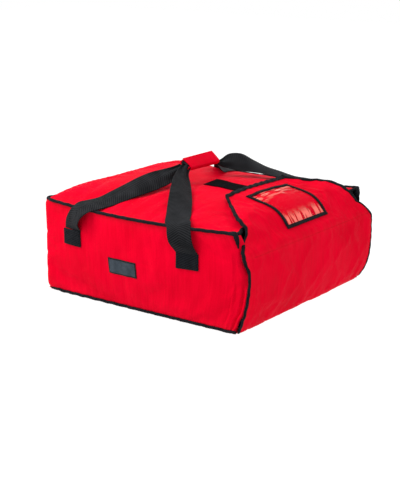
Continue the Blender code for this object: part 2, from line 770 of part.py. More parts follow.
def leg_over_top(sign, end, crest, wall_width):
    """Centres, half widths and folds of a leg from the crest to the grip."""
    finish = grip_point(sign * (GRIP_LENGTH / 2 + SEAM_GAP), 0.0, strap_level(end))
    run = finish - crest
    square = unit(np.array([run[1], -run[0], 0.0]) * sign)
    centres, widths = [], []
    tables = (LEG_RUN_SHARES, LEG_CLIMB_SHARES, LEG_TURN_SHARES, LEG_TILT_SHARES, LEG_FOLD_SHARES)
    for run_share, climb_share, turn, tilt, fold in zip(*tables):
        centre = crest + run * run_share
        centre[2] = EDGE_HEIGHT + (finish[2] - EDGE_HEIGHT) * climb_share
        level = unit(unit(wall_width) * (1 - turn) + square * turn)
        angle = GRIP_TILT * tilt
        half = (WEBBING_WIDTH * (1 - fold) + FOLDED_WIDTH * fold) / 2
        centres.append(centre)
        widths.append((level * cos(angle) + np.array([0.0, 0.0, sin(angle)])) * half)
    centres.append(finish)
    widths.append(GRIP_ACROSS * CORE_HALF_WIDTH)
    return centres, widths, list(LEG_FOLD_SHARES) + [1.0]


def strap_leg(sign, end):
    """A strap from its sewn end over the edge and up to the grip."""
    centres, widths = leg_over_edge(sign, end)
    top_centres, top_widths, folds = leg_over_top(sign, end, centres[-1], widths[0])
    folds = [0.0] * len(centres) + folds
    centres = centres + top_centres
    widths = widths + top_widths
    thick = [WEBBING_THICKNESS + (FOLDED_THICKNESS - WEBBING_THICKNESS) * fold for fold in folds]
    steps = np.linalg.norm(np.diff(centres, axis=0), axis=1)
    knots = np.concatenate([[0.0], np.cumsum(steps)]) / steps.sum()
    shares = [0.0]
    for low, high in zip(knots, knots[1:]):
        shares += between(low, high, LEG_STEPS)[1:]
    rings = []
    for share in shares:
        centre = curve_through(share, knots, centres)
        ahead = curve_through(min(share + LEG_STEP_SHARE, 1.0), knots, centres)
        behind = curve_through(max(share - LEG_STEP_SHARE, 0.0), knots, centres)
        width = curve_through(share, knots, widths)
        out = unit(np.cross(ahead - behind, width)) * curve_through(share, knots, thick) / 2
        rings.append([centre - width - out, centre + width - out, centre + width + out, centre - width + out])
    rings[0] = [np.array([p[0], p[1], TAB_TOP + SEAM_GAP]) for p in rings[0]]
    rings[-1] = [np.array([centres[-1][0], p[1], p[2]]) for p in rings[-1]]
    return sweep(rings)


def make_straps():
    """Strap legs, their folded middles and the wrapped grip."""
    for place, end in (("front", -1), ("back", 1)):
        keep_solid("strap_" + place + "_middle", "grip", "webbing", folded_strap(end))
        for side, sign in (("left", -1), ("right", 1)):
            keep_solid("strap_leg_" + side + "_" + place, "bag", "webbing", strap_leg(sign, end))
    keep_solid("wrap_base", "grip", "red_cloth", wrap_base())
    keep_solid("wrap_cover", "wrap_cover", "red_cloth", wrap_cover())
    loop_start = WRAP_HALF_WIDTH + SEAM_GAP
    keep_solid("wrap_loop_tape", "grip", "tape", wrap_tape(loop_start))
    hook_start = loop_start + WRAP_TAPE + SEAM_GAP
    keep_solid("wrap_hook_tape", "wrap_cover", "tape", wrap_tape(hook_start))


def body_pivots():
    """Each moving body's parent and the point that its joint turns about."""
    hinge_out = CORE_HALF_HEIGHT + SEAM_GAP / 2
    return {
        "bag": (None, np.zeros(3)),
        "flap_front": ("bag", np.array([0.0, -HALF_DEPTH - FOOT_REACH, 0.0])),
        "flap_top": ("flap_front", np.array([0.0, PROFILE[0][0], CREASE_HEIGHT])),
        "grip": ("bag", GRIP_MID),
        "wrap_cover": ("grip", grip_point(0.0, WRAP_HALF_WIDTH, hinge_out)),
    }


def clear_scene():
    """Remove what the scene holds."""
    for item in list(bpy.data.objects):
        bpy.data.objects.remove(item, do_unlink=True)


def cloth_material(name, kind):
    """A material of one object, from the table of finishes."""
    colour, roughness = MATERIALS[kind]
    material = bpy.data.materials.new(name)
    material.use_nodes = True
    shader = material.node_tree.nodes["Principled BSDF"]
    shader.inputs["Base Color"].default_value = (*colour, 1.0)
    shader.inputs["Roughness"].default_value = roughness
    shader.inputs["Metallic"].default_value = 0.0
    material.diffuse_color = (*colour, 1.0)
    return material


def place_solids():
    """Make every object, with the bag's box centred over the origin."""
    points = np.concatenate([verts for _, _, _, verts, _ in SOLIDS])
    middle = (points.min(axis=0) + points.max(axis=0)) / 2
    shift = np.array([-middle[0], -middle[1], -points[:, 2].min()])
    pivots = body_pivots()
    frames = {}
    for body, (parent, pivot) in pivots.items():
        frame = bpy.data.objects.new(body + "_pivot", None)
        bpy.context.collection.objects.link(frame)
        frame.empty_display_size = WEBBING_WIDTH / 2
        frame.location = pivot + shift
        if parent:
            frame.parent = frames[parent]
            frame.location = pivot - pivots[parent][1]
        frames[body] = frame
    for name, body, kind, verts, faces in SOLIDS:
        mesh = bpy.data.meshes.new(name)
        mesh.from_pydata((verts - pivots[body][1]).tolist(), [], faces)
        mesh.validate()
        mesh.shade_smooth()
        mesh.set_sharp_from_angle(angle=radians(35))
        mesh.materials.append(cloth_material(name, kind))
        piece = bpy.data.objects.new(name, mesh)
        bpy.context.collection.objects.link(piece)
        piece.parent = frames[body]


def main():
    """Build the bag."""
    clear_scene()
    faces = make_panels()
    make_bindings(faces)
    make_piping()
    make_fittings()
    make_straps()
    place_solids()


main()
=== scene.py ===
"""The padded pizza bag as it looks: quilted cloth, piping, bindings, straps and window.

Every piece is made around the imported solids, in metres. Shapes are worked out with the
back seam at y = +HALF_DEPTH and the mouth at y = -HALF_DEPTH, and then moved by BAG_Y.
"""
from math import cos, pi, radians, sin

import bpy
import numpy as np
from mathutils import Matrix, Vector
from mathutils.bvhtree import BVHTree


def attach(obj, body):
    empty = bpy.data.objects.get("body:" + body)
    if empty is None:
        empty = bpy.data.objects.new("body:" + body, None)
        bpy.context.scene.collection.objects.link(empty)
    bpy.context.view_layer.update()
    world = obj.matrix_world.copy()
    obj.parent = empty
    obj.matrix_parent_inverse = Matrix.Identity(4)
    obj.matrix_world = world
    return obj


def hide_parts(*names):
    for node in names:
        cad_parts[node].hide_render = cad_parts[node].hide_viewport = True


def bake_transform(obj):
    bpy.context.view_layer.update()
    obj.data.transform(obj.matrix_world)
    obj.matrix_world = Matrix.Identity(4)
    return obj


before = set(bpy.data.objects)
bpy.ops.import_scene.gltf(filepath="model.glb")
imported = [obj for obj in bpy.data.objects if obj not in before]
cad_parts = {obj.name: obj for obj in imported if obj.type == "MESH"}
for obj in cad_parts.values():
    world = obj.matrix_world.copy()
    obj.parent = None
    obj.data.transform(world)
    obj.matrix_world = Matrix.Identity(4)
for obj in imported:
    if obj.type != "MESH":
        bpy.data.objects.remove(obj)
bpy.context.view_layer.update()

# Sizes of the bag, as in its solids but for the grip's folded core
BAG_WIDTH = 0.476
BAG_DEPTH = 0.508
EDGE_HEIGHT = 0.206
HALF_WIDTH = BAG_WIDTH / 2
HALF_DEPTH = BAG_DEPTH / 2
SIDE_BULGE = 0.016
TOP_EDGE_BOW = 0.020
EDGE_SAG = 0.004
TOP_DOME = 0.035
BACK_BULGE = 0.008
MOUTH_BOW = 0.024
MOUTH_RECESS = 0.024
DOME_ALONG = (0.0, 0.06, 0.15, 0.30, 0.50, 0.65, 0.77, 0.83, 0.875, 0.925, 0.965, 1.0)
DOME_RISE = (0.0, 0.33, 0.66, 0.92, 1.0, 0.985, 0.91, 0.77, 0.62, 0.38, 0.12, 0.0)
MOUTH_HEIGHTS = (0.0, 0.10, 0.22, 0.53, 0.78, 1.0)
MOUTH_REACHES = (0.0, 0.13, 0.50, 1.0, 0.86, 0.0)
CREASE_HEIGHT = 0.160
CREASE_REACH = 0.039
FLAP_HALF_WIDTH = 0.241
FLAP_TIP_HALF = 0.107
FLAP_LAP = 0.118
FRONT_BELLY = 0.005
FRONT_HEIGHTS = (0.0, 0.10, 0.29, 0.525, 0.71, 0.89, 1.0)
FRONT_REACHES = (0.0, 0.25, 0.62, 0.89, 1.0, 1.02, 1.0)
FLAP_RUNS = (0.0, 0.057, 0.153, 0.236, 0.350, 0.490, 0.796, 1.0)
FLAP_RISES = (0.0, 0.180, 0.340, 0.543, 0.725, 0.842, 0.952, 1.0)
FLAP_ALONG = (0.0, 0.10, 0.20, 0.32, 0.43, 0.57, 0.83, 1.0)
FLAP_SIDES = (0.241, 0.2338, 0.2133, 0.2039, 0.1969, 0.1839, 0.1381, 0.107)
WALL_BUILD = 0.008
FOOT_REACH = 0.0083
FLAP_REST = 0.0119
CROWN_HEIGHT = EDGE_HEIGHT - EDGE_SAG + TOP_DOME
PIPING_RADIUS = 0.0032
BOTTOM_SEAM = 0.0040
SEAM_OUT = 0.0012
SEAM_UP = 0.0015
WEBBING_WIDTH = 0.050
HALF_WEBBING = WEBBING_WIDTH / 2
WEBBING_THICKNESS = 0.0018
GRIP_LENGTH = 0.110
MIDDLE_GAP = 0.0041
GRIP_TILT = radians(38)
GRIP_MID = np.array([0.008, 0.018, CROWN_HEIGHT + 0.043])
GRIP_ACROSS = np.array([0.0, cos(GRIP_TILT), sin(GRIP_TILT)])
GRIP_OUT = np.array([0.0, -sin(GRIP_TILT), cos(GRIP_TILT)])
CORE_HALF_WIDTH = 0.0095
TAB_TOP = 0.154
TAB_HEIGHT = 0.032
TAB_Y = {1: HALF_DEPTH - 0.094, -1: 0.106 - HALF_DEPTH}
PATCH_Y = 0.017
PATCH_HALF = 0.038
PATCH_LOW = 0.080
PATCH_HIGH = 0.114
BAG_Y = 0.017516
UP = np.array([0.0, 0.0, 1.0])

SIDE_CELLS = 62
BACK_CELLS = 58
RISE_CELLS = 26
CORNER_RADIUS = 0.0045
STITCH_SIDES = 6
CORD_SIDES = 12


# Numbers
def curve(share, knots, values):
    """Values at an array of shares of the smooth curve through the knots."""
    share = np.asarray(share, float)
    knots = np.asarray(knots, float)
    values = np.asarray(values, float)
    slopes = np.gradient(values, knots, axis=0)
    i = np.clip(np.searchsorted(knots, share) - 1, 0, len(knots) - 2)
    span = knots[i + 1] - knots[i]
    t = np.clip((share - knots[i]) / span, 0.0, 1.0)
    if values.ndim > 1:
        t, span = t[..., None], span[..., None]
    start = (2 * t**3 - 3 * t**2 + 1) * values[i] + (t**3 - 2 * t**2 + t) * span * slopes[i]
    return start + (3 * t**2 - 2 * t**3) * values[i + 1] + (t**3 - t**2) * span * slopes[i + 1]


def unit(vectors):
    """The vectors at length one."""
    vectors = np.asarray(vectors, float)
    return vectors / np.maximum(np.linalg.norm(vectors, axis=-1, keepdims=True), 1e-12)


def smooth(low, high, value):
    """0 below low and 1 above high, with an even turn between them."""
    t = np.clip((np.asarray(value, float) - low) / (high - low), 0.0, 1.0)
    return t * t * (3 - 2 * t)


def hill(value, middle, width):
    """A soft bump of height one about the middle."""
    return np.exp(-(((np.asarray(value, float) - middle) / width) ** 2))


def patchy(u, v, pitch_u, pitch_v, seed):
    """Smooth random field over u and v, from about -1 to 1."""
    table = np.random.default_rng(seed).uniform(-1, 1, (64, 64))
    a, b = np.asarray(u, float) / pitch_u, np.asarray(v, float) / pitch_v
    a, b = np.broadcast_arrays(a, b)
    i, j = np.floor(a).astype(int), np.floor(b).astype(int)
    s, t = a - i, b - j
    s, t = s * s * (3 - 2 * s), t * t * (3 - 2 * t)
    corner = [[table[(i + p) % 64, (j + q) % 64] for q in (0, 1)] for p in (0, 1)]
    near = corner[0][0] * (1 - t) + corner[0][1] * t
    far = corner[1][0] * (1 - t) + corner[1][1] * t
    return near * (1 - s) + far * s


def ripple(along, pitch, seed):
    """Uneven waves along a seam, from about -1 to 1."""
    phase = 2.2 * patchy(along, 0.0, pitch * 2.4, 1.0, seed)
    size = 0.60 + 0.40 * patchy(along, 0.0, pitch * 3.1, 1.0, seed + 7)
    return size * np.sin(2 * pi * np.asarray(along) / pitch + phase)


def creases(u, v, pitch_u, pitch_v, seed):
    """Thin lines from 0 to 1 that wander and fade out, for the creases of soft cloth."""
    line = np.exp(-((patchy(u, v, pitch_u, pitch_v, seed) / 0.16) ** 2))
    return line * smooth(-0.05, 0.45, patchy(u, v, pitch_u * 1.6, pitch_v * 1.6, seed + 5))


def doubled(points):
    """A grid of points with a further row and column between each two."""
    def along_first(p):
        padded = np.concatenate([2 * p[:1] - p[1:2], p, 2 * p[-1:] - p[-2:-1]])
        middle = (9 * (padded[1:-2] + padded[2:-1]) - padded[:-3] - padded[3:]) / 16
        out = np.empty((2 * len(p) - 1,) + p.shape[1:])
        out[::2], out[1::2] = p, middle
        return out
    return np.swapaxes(along_first(np.swapaxes(along_first(points), 0, 1)), 0, 1)


def normals(points):
    """Unit normals of a grid of points, along rows cross columns."""
    return unit(np.cross(np.gradient(points, axis=0), np.gradient(points, axis=1)))


def calmed(grid, rounds):
    """A grid of values with its small differences smoothed away."""
    for _ in range(rounds):
        wide = np.pad(grid, ((1, 1), (1, 1), (0, 0)), mode="edge")
        grid = (wide[:-2, 1:-1] + wide[2:, 1:-1] + wide[1:-1, :-2] + wide[1:-1, 2:] + 2 * grid) / 6
    return grid


def pad_face(skin, deep, way, free):
    """The smooth inner face of a padded cloth, which keeps to the cloth where free is 0."""
    free = smooth(0.0, 1.0, free)[..., None]
    return calmed(skin, 14) * free + skin * (1 - free) - way * deep[..., None]


def lengths(points):
    """Running length along a line of points."""
    steps = np.linalg.norm(np.diff(points, axis=0), axis=-1)
    return np.concatenate([[0.0], np.cumsum(steps)])


def evenly(points, count):
    """The line of points at even spacing."""
    run = lengths(points)
    return curve(np.linspace(0, run[-1], count), run, points)


# The bag's form
def depth_share(y):
    """Share of the way from the back seam to the mouth."""
    return np.clip((HALF_DEPTH - np.asarray(y, float)) / BAG_DEPTH, 0.0, 1.0)


def side_reach(y, z):
    """Distance of the left and right walls from the middle."""
    s = depth_share(y)
    t = np.clip(np.asarray(z, float) / EDGE_HEIGHT, 0.0, 1.0)
    return HALF_WIDTH + 4 * s * (1 - s) * (TOP_EDGE_BOW * t + SIDE_BULGE * np.sin(pi * t))


def back_reach(x, z):
    """Distance of the back wall from the middle."""
    s = (np.asarray(x, float) + HALF_WIDTH) / BAG_WIDTH
    t = np.clip(np.asarray(z, float) / EDGE_HEIGHT, 0.0, 1.0)
    return HALF_DEPTH + 4 * s * (1 - s) * BACK_BULGE * np.sin(pi * t)


def mouth_front(z):
    """Place of the mouth's edge at a height."""
    t = np.clip(np.asarray(z, float) / EDGE_HEIGHT, 0.0, 1.0)
    return -HALF_DEPTH - MOUTH_BOW * curve(t, MOUTH_HEIGHTS, MOUTH_REACHES)


def edge_line(y):
    """Height of the top seam along the side walls."""
    s = depth_share(y)
    return EDGE_HEIGHT - 4 * s * (1 - s) * EDGE_SAG


def top_height(x, y):
    """Height of the domed top."""
    across = np.clip(np.abs(x) / side_reach(y, EDGE_HEIGHT), 0.0, 1.0)
    rise = curve(depth_share(y), DOME_ALONG, DOME_RISE)
    power = 2.0 + 3.5 * np.exp(-(((HALF_DEPTH - y) / 0.10) ** 2))
    return edge_line(y) + TOP_DOME * rise * (1 - across**power)


def corner_rise(x, y):
    """How far the top seam is pushed up at the right mouth corner."""
    return 0.0040 * smooth(0.170, 0.232, x) * smooth(-0.185, -0.245, y)


def rounded(x, y):
    """The plan with its two back corners rounded."""
    x, y = np.broadcast_arrays(np.asarray(x, float), np.asarray(y, float))
    a = np.maximum(np.abs(x) - (HALF_WIDTH - CORNER_RADIUS), 0.0)
    b = np.maximum(y - (HALF_DEPTH - CORNER_RADIUS), 0.0)
    both = (a > 0) & (b > 0)
    factor = np.where(both, np.maximum(a, b) / np.maximum(np.hypot(a, b), 1e-9), 1.0)
    new_x = np.where(both, np.sign(x) * (HALF_WIDTH - CORNER_RADIUS + a * factor), x)
    new_y = np.where(both, HALF_DEPTH - CORNER_RADIUS + b * factor, y)
    return new_x, new_y


# Meshes
def mesh_object(name, verts, faces, uv=None, wear=None):
    """An object of these points, with its cloth directions and wear kept on the mesh."""
    mesh = bpy.data.meshes.new(name)
    shifted = np.asarray(verts, float) + (0.0, BAG_Y, 0.0)
    mesh.from_pydata(shifted.tolist(), [], [tuple(int(i) for i in f) for f in faces])
    mesh.update()
    if uv is not None:
        layer = mesh.uv_layers.new(name="cloth_uv")
        loops = np.empty(len(mesh.loops), dtype=np.int32)
        mesh.loops.foreach_get("vertex_index", loops)
        layer.data.foreach_set("uv", np.asarray(uv, float)[loops].ravel())
    if wear is not None:
        rubbing = mesh.attributes.new("wear", "FLOAT", "POINT")
        rubbing.data.foreach_set("value", np.asarray(wear, float).ravel())
    mesh.polygons.foreach_set("use_smooth", [True] * len(mesh.polygons))
    item = bpy.data.objects.new(name, mesh)
    bpy.context.scene.collection.objects.link(item)
    return item


def outward(verts, faces):
    """The faces, turned so that a closed form faces out."""
    v = np.asarray(verts, float)
    total = 0.0
    for face in faces:
        for k in range(1, len(face) - 1):
            total += float(np.dot(v[face[0]], np.cross(v[face[k]], v[face[k + 1]])))
    return faces if total > 0 else [tuple(reversed(f)) for f in faces]


def quilt(points, thickness, uv=None, wear=None, rim=0.35, closed=False, inner=None):
    """A closed sheet under a grid of points, thickness deep, with a rounded rim.

    closed is for a grid whose last column meets its first. inner takes the place of the even depth.
    """
    points = np.asarray(points, float)
    rows, cols = points.shape[:2]
    if closed:
        wide = np.concatenate([points[:, -2:-1], points, points[:, 1:2]], axis=1)
        way = normals(wide)[:, 1:-1]
    else:
        way = normals(points)
    deep = np.broadcast_to(np.asarray(thickness, float), (rows, cols))[..., None]
    inner = points - way * deep if inner is None else np.asarray(inner, float)
    if uv is None:
        u, v = lengths(points.mean(axis=0)), lengths(points.mean(axis=1))
        uv = np.stack(np.broadcast_arrays(u[None, :], v[:, None]), axis=-1)
    uv = np.asarray(uv, float).reshape(-1, 2)
    wear = np.zeros((rows, cols)) if wear is None else np.asarray(wear, float)
    index = np.arange(rows * cols).reshape(rows, cols)
    half = rows * cols
    faces = sheet_faces(rows, cols)
    faces += [(a + half, b + half, c + half, d + half) for a, d, c, b in faces]
    if closed:
        border = []
        loops = [list(index[0, :]), list(index[-1, ::-1])]
    else:
        border = list(index[0, :-1]) + list(index[:-1, -1]) + list(index[-1, :0:-1]) + list(index[:0:-1, 0])
        loops = [border + border[:1]]
    verts = [points.reshape(-1, 3), inner.reshape(-1, 3)]
    uvs, wears = [uv, uv], [wear.ravel(), wear.ravel()]
    base = 2 * half
    flat_outer, flat_inner = verts[0], verts[1]
    for loop in loops:
        ring = loop[:-1] if not closed else loop
        middle = (flat_outer[ring] + flat_inner[ring]) / 2
        count = len(ring)
        ahead = np.roll(middle, -1, axis=0) - np.roll(middle, 1, axis=0)
        through = unit(flat_outer[ring] - flat_inner[ring])
        side = unit(np.cross(ahead, through))
        towards = middle - points.reshape(-1, 3).mean(axis=0)
        if closed:
            towards = flat_outer[ring] - flat_outer[[r + cols if r < cols else r - cols for r in ring]]
        if float(np.sum(side * towards)) < 0:
            side = -side
        gap = np.linalg.norm(flat_outer[ring] - flat_inner[ring], axis=-1, keepdims=True)
        verts.append(middle + side * gap * rim)
        uvs.append(uv[ring])
        wears.append(wear.ravel()[ring])
        for k in range(count if not closed else count - 1):
            n = (k + 1) % count
            faces.append((ring[k], ring[n], base + n, base + k))
            faces.append((base + k, base + n, ring[n] + half, ring[k] + half))
        base += count
    verts = np.concatenate(verts)
    return verts, outward(verts, faces), np.concatenate(uvs), np.concatenate(wears)


def sheet_faces(rows, cols):
    """Faces of an open grid."""
    index = np.arange(rows * cols).reshape(rows, cols)
    a, b = index[:-1, :-1].ravel(), index[:-1, 1:].ravel()
    c, d = index[1:, 1:].ravel(), index[1:, :-1].ravel()
    return list(zip(a, d, c, b))


def ring_faces(count, sides):
    """Faces between rings of points that follow each other."""
    return [
        (k * sides + i, k * sides + (i + 1) % sides, (k + 1) * sides + (i + 1) % sides, (k + 1) * sides + i)
        for k in range(count - 1) for i in range(sides)
    ]


def tube(path, radius, wobble, sides=CORD_SIDES):
    """A closed tube along a path, with rounded ends. Its uv runs along and around, in metres."""
    path = np.asarray(path, float)
    radius = np.broadcast_to(np.asarray(radius, float), (len(path),)).copy()
    ahead = unit(np.gradient(path, axis=0))
    side = unit(np.cross(ahead, UP + 1e-4))
    up = np.cross(side, ahead)
    run = lengths(path)
    angles = 2 * pi * np.arange(sides) / sides
    size = radius[:, None] * wobble
    ring = side[:, None] * np.cos(angles)[None, :, None] + up[:, None] * np.sin(angles)[None, :, None]
    verts = path[:, None] + ring * size[..., None]
    uv = np.stack(np.broadcast_arrays(run[:, None], (angles * float(radius.mean()))[None, :]), axis=-1)
    faces = ring_faces(len(path), sides)
    verts, uv = verts.reshape(-1, 3), uv.reshape(-1, 2)
    count = len(verts)
    tips = np.array([path[0] - ahead[0] * radius[0] * 0.6, path[-1] + ahead[-1] * radius[-1] * 0.6])
    verts = np.concatenate([verts, tips])
    uv = np.concatenate([uv, uv[[0, -1]]])
    last = (len(path) - 1) * sides
    for i in range(sides):
        j = (i + 1) % sides
        faces.append((count, j, i))
        faces.append((count + 1, last + i, last + j))
    return verts, outward(verts, faces), uv


def folded_edge(outers, inners, offset=0.0004, thickness=0.0011, sway=0.0, seed=3):
    """Binding folded over an edge.

    Each face gives its line on the edge, one inside it and one at the binding's lip.
    """
    away = unit((outers[0] + inners[0]) / 2 - (outers[2] + inners[2]) / 2)
    through = unit(outers[0] - inners[0])
    away = unit(away - through * np.sum(away * through, axis=-1, keepdims=True))
    count = len(outers[0])
    middle = (outers[0] + inners[0]) / 2
    run = lengths(middle)
    shift = (sway * ripple(run, 0.021, seed))[:, None] * away
    half = np.linalg.norm(outers[0] - inners[0], axis=-1, keepdims=True) / 2
    section = []
    for level in (offset + thickness, offset):
        reach = half + level
        section.append([
            outers[2] + through * level + shift,
            outers[1] + through * level * 1.15 + shift * 0.5,
            outers[0] + through * level * 0.9,
            middle + through * reach * 0.60 + away * reach * 0.65,
            middle + away * (reach * 0.95),
            middle - through * reach * 0.60 + away * reach * 0.65,
            inners[0] - through * level * 0.9,
            inners[1] - through * level * 1.15,
            inners[2] - through * level,
        ])
    rings = np.stack(section[0] + section[1][::-1], axis=1)
    sides = rings.shape[1]
    faces = ring_faces(count, sides)
    last = (count - 1) * sides
    for i in range(sides // 2 - 1):
        j = sides - 1 - i
        faces.append((j, j - 1, i + 1, i))
        faces.append((last + i, last + i + 1, last + j - 1, last + j))
    across = np.concatenate([np.arange(sides // 2), np.arange(sides // 2)[::-1]]) * 0.0025
    uv = np.stack(np.broadcast_arrays(run[:, None], across[None, :]), axis=-1).reshape(-1, 2)
    verts = rings.reshape(-1, 3)
    return verts, outward(verts, faces), uv


def joined(parts):
    """Several (points, faces, uv) forms as one."""
    verts, faces, uvs, base = [], [], [], 0
    for part in parts:
        verts.append(np.asarray(part[0], float))
        faces += [tuple(int(i) + base for i in f) for f in part[1]]
        uvs.append(np.asarray(part[2], float))
        base += len(part[0])
    return np.concatenate(verts), faces, np.concatenate(uvs)


def stitches(path, way, pitch=0.0052, length=0.0036, radius=0.00042, lift=0.00015):
    """Thread stitches lying along a path on a surface whose outward direction is way."""
    run = lengths(path)
    parts = []
    starts = np.arange(pitch / 2, run[-1] - length, pitch)
    for start in starts:
        places = start + length * np.array([0.0, 0.12, 0.5, 0.88, 1.0])
        centre = np.stack([np.interp(places, run, path[:, k]) for k in range(3)], axis=-1)
        out = unit(np.stack([np.interp(places, run, way[:, k]) for k in range(3)], axis=-1))
        rise = np.array([-0.0004, 0.0002, 0.00045, 0.0002, -0.0004])[:, None]
        centre = centre + out * (rise + lift)
        ahead = unit(np.gradient(centre, axis=0))
        side = unit(np.cross(ahead, out))
        up = np.cross(side, ahead)
        size = radius * np.array([0.6, 1.0, 1.0, 1.0, 0.6])
        angles = 2 * pi * np.arange(STITCH_SIDES) / STITCH_SIDES
        ring = side[:, None] * np.cos(angles)[None, :, None] + up[:, None] * np.sin(angles)[None, :, None]
        verts = (centre[:, None] + ring * size[:, None, None]).reshape(-1, 3)
        faces = ring_faces(len(places), STITCH_SIDES)
        faces += [tuple(range(STITCH_SIDES))[::-1], tuple(range(len(verts) - STITCH_SIDES, len(verts)))]
        parts.append((verts, outward(verts, faces), np.zeros((len(verts), 2))))
    return joined(parts)


class Skin:
    """A surface that other pieces are laid on."""

    def __init__(self, points):
        corners = [Vector(p) for p in points.reshape(-1, 3)]
        faces = [tuple(int(i) for i in f) for f in sheet_faces(*points.shape[:2])]
        self.tree = BVHTree.FromPolygons(corners, faces)

    def lay(self, points, way, lift):
        """The points, moved along way until they lie lift above the surface, and its directions there."""
        points = np.asarray(points, float)
        flat = points.reshape(-1, 3)
        ways = np.broadcast_to(np.asarray(way, float), points.shape).reshape(-1, 3)
        out, facing = [], []
        for p, w in zip(flat, ways):
            w = Vector(w).normalized()
            hit, normal, _, _ = self.tree.ray_cast(Vector(p) + w * 0.06, -w, 0.12)
            if hit is None:
                hit, normal, _, _ = self.tree.find_nearest(Vector(p))
            if normal.dot(w) < 0:
                normal = -normal
            out.append(hit + normal * lift)
            facing.append(normal)
        return np.array(out).reshape(points.shape), np.array(facing).reshape(points.shape)


# Materials
class Nodes:
    """Short hand for building one node material."""

    def __init__(self, name):
        self.material = bpy.data.materials.new(name)
        self.material.use_nodes = True
        self.tree = self.material.node_tree
        self.shader = self.tree.nodes["Principled BSDF"]
        self.coord = self.tree.nodes.new("ShaderNodeTexCoord").outputs["Object"]
        uv = self.tree.nodes.new("ShaderNodeUVMap")
        uv.uv_map = "cloth_uv"
        self.uv = uv.outputs["UV"]

    def put(self, kind, links=None, **values):
        node = self.tree.nodes.new(kind)
        for key, value in values.items():
            if hasattr(node, key):
                setattr(node, key, value)
            else:
                node.inputs[key].default_value = value
        for key, source in (links or {}).items():
            self.tree.links.new(source, node.inputs[key])
        return node

    def math(self, operation, a, b=None, c=None):
        node = self.tree.nodes.new("ShaderNodeMath")
        node.operation = operation
        for i, value in enumerate((a, b, c)):
            if value is None:
                continue
            if isinstance(value, (int, float)):
                node.inputs[i].default_value = value
            else:
                self.tree.links.new(value, node.inputs[i])
        return node.outputs[0]

    def noise(self, scale, detail=3.0, stretch=None, source=None):
        vector = source or self.coord
        if stretch:
            node = self.tree.nodes.new("ShaderNodeMapping")
            self.tree.links.new(vector, node.inputs["Vector"])
            node.inputs["Scale"].default_value = stretch
            vector = node.outputs[0]
        return self.put("ShaderNodeTexNoise", {"Vector": vector}, Scale=scale, Detail=detail).outputs["Fac"]

    def split(self):
        node = self.tree.nodes.new("ShaderNodeSeparateXYZ")
        self.tree.links.new(self.uv, node.inputs[0])
        return node.outputs[0], node.outputs[1]

    def ramp(self, source, stops):
        node = self.tree.nodes.new("ShaderNodeValToRGB")
        self.tree.links.new(source, node.inputs[0])
        elements = node.color_ramp.elements
        while len(elements) < len(stops):
            elements.new(0.5)
        for element, (place, colour) in zip(elements, stops):
            element.position = place
            element.color = (*colour, 1.0)
        return node.outputs[0]

    def mix(self, share, a, b):
        node = self.tree.nodes.new("ShaderNodeMix")
        node.data_type = "RGBA"
        sockets = {"Factor": share, "A": a, "B": b}
        slots = {"Factor": node.inputs[0], "A": node.inputs[6], "B": node.inputs[7]}
        for key, value in sockets.items():
            if isinstance(value, tuple):
                slots[key].default_value = (*value, 1.0)
            elif isinstance(value, (int, float)):
                slots[key].default_value = value
            else:
                self.tree.links.new(value, slots[key])
        return node.outputs[2]

    def bump(self, height, strength, distance, under=None):
        links = {"Height": height}
        if under is not None:
            links["Normal"] = under
        return self.put("ShaderNodeBump", links, Strength=strength, Distance=distance).outputs[0]

    def finish(self, colour=None, normal=None, roughness=None, **values):
        links = self.tree.links
        if colour is not None:
            links.new(colour, self.shader.inputs["Base Color"])
        if normal is not None:
            links.new(normal, self.shader.inputs["Normal"])
        if roughness is not None:
            links.new(roughness, self.shader.inputs["Roughness"])
        for key, value in values.items():
            self.shader.inputs[key.replace("_", " ")].default_value = value
        return self.material


def weave(n, pitch):
    """Height of a plain weave from the cloth's own directions."""
    u, v = n.split()
    across = n.math("SINE", n.math("MULTIPLY", u, 2 * pi / pitch))
    along = n.math("SINE", n.math("MULTIPLY", v, 2 * pi / pitch))
    return n.math("MULTIPLY", across, along)


def red_cloth(name, deep=(0.54, 0.0001, 0.011), bright=(0.70, 0.0004, 0.019)):
    """Coated polyester cloth: a fine weave, a vertical grain, and paler worn seams."""
    n = Nodes(name)
    broad = n.noise(9.0, 4.0)
    grain = n.noise(1.0, 4.0, stretch=(240.0, 14.0, 1.0), source=n.uv)
    mixed = n.math("ADD", n.math("MULTIPLY", broad, 0.6), n.math("MULTIPLY", grain, 0.4))
    colour = n.ramp(mixed, ((0.30, deep), (0.62, bright)))
    wear = n.put("ShaderNodeAttribute", attribute_name="wear").outputs["Fac"]
    speckle = n.noise(420.0, 2.0)
    rubbed = n.math("MULTIPLY", wear, n.math("MULTIPLY", speckle, 0.35))
    colour = n.mix(rubbed, colour, (0.90, 0.035, 0.05))
    soft = n.bump(n.noise(26.0, 5.0), 0.35, 0.0035)
    fine = n.bump(n.noise(170.0, 3.0), 0.25, 0.0005, soft)
    normal = n.bump(weave(n, 0.0011), 0.35, 0.00012, fine)
    rough = n.math("ADD", n.math("MULTIPLY", grain, 0.18), 0.46)
    return n.finish(colour, normal, rough, Sheen_Weight=0.02, Sheen_Roughness=0.5,
                    Sheen_Tint=(1.0, 0.03, 0.06, 1.0), Specular_IOR_Level=0.01)


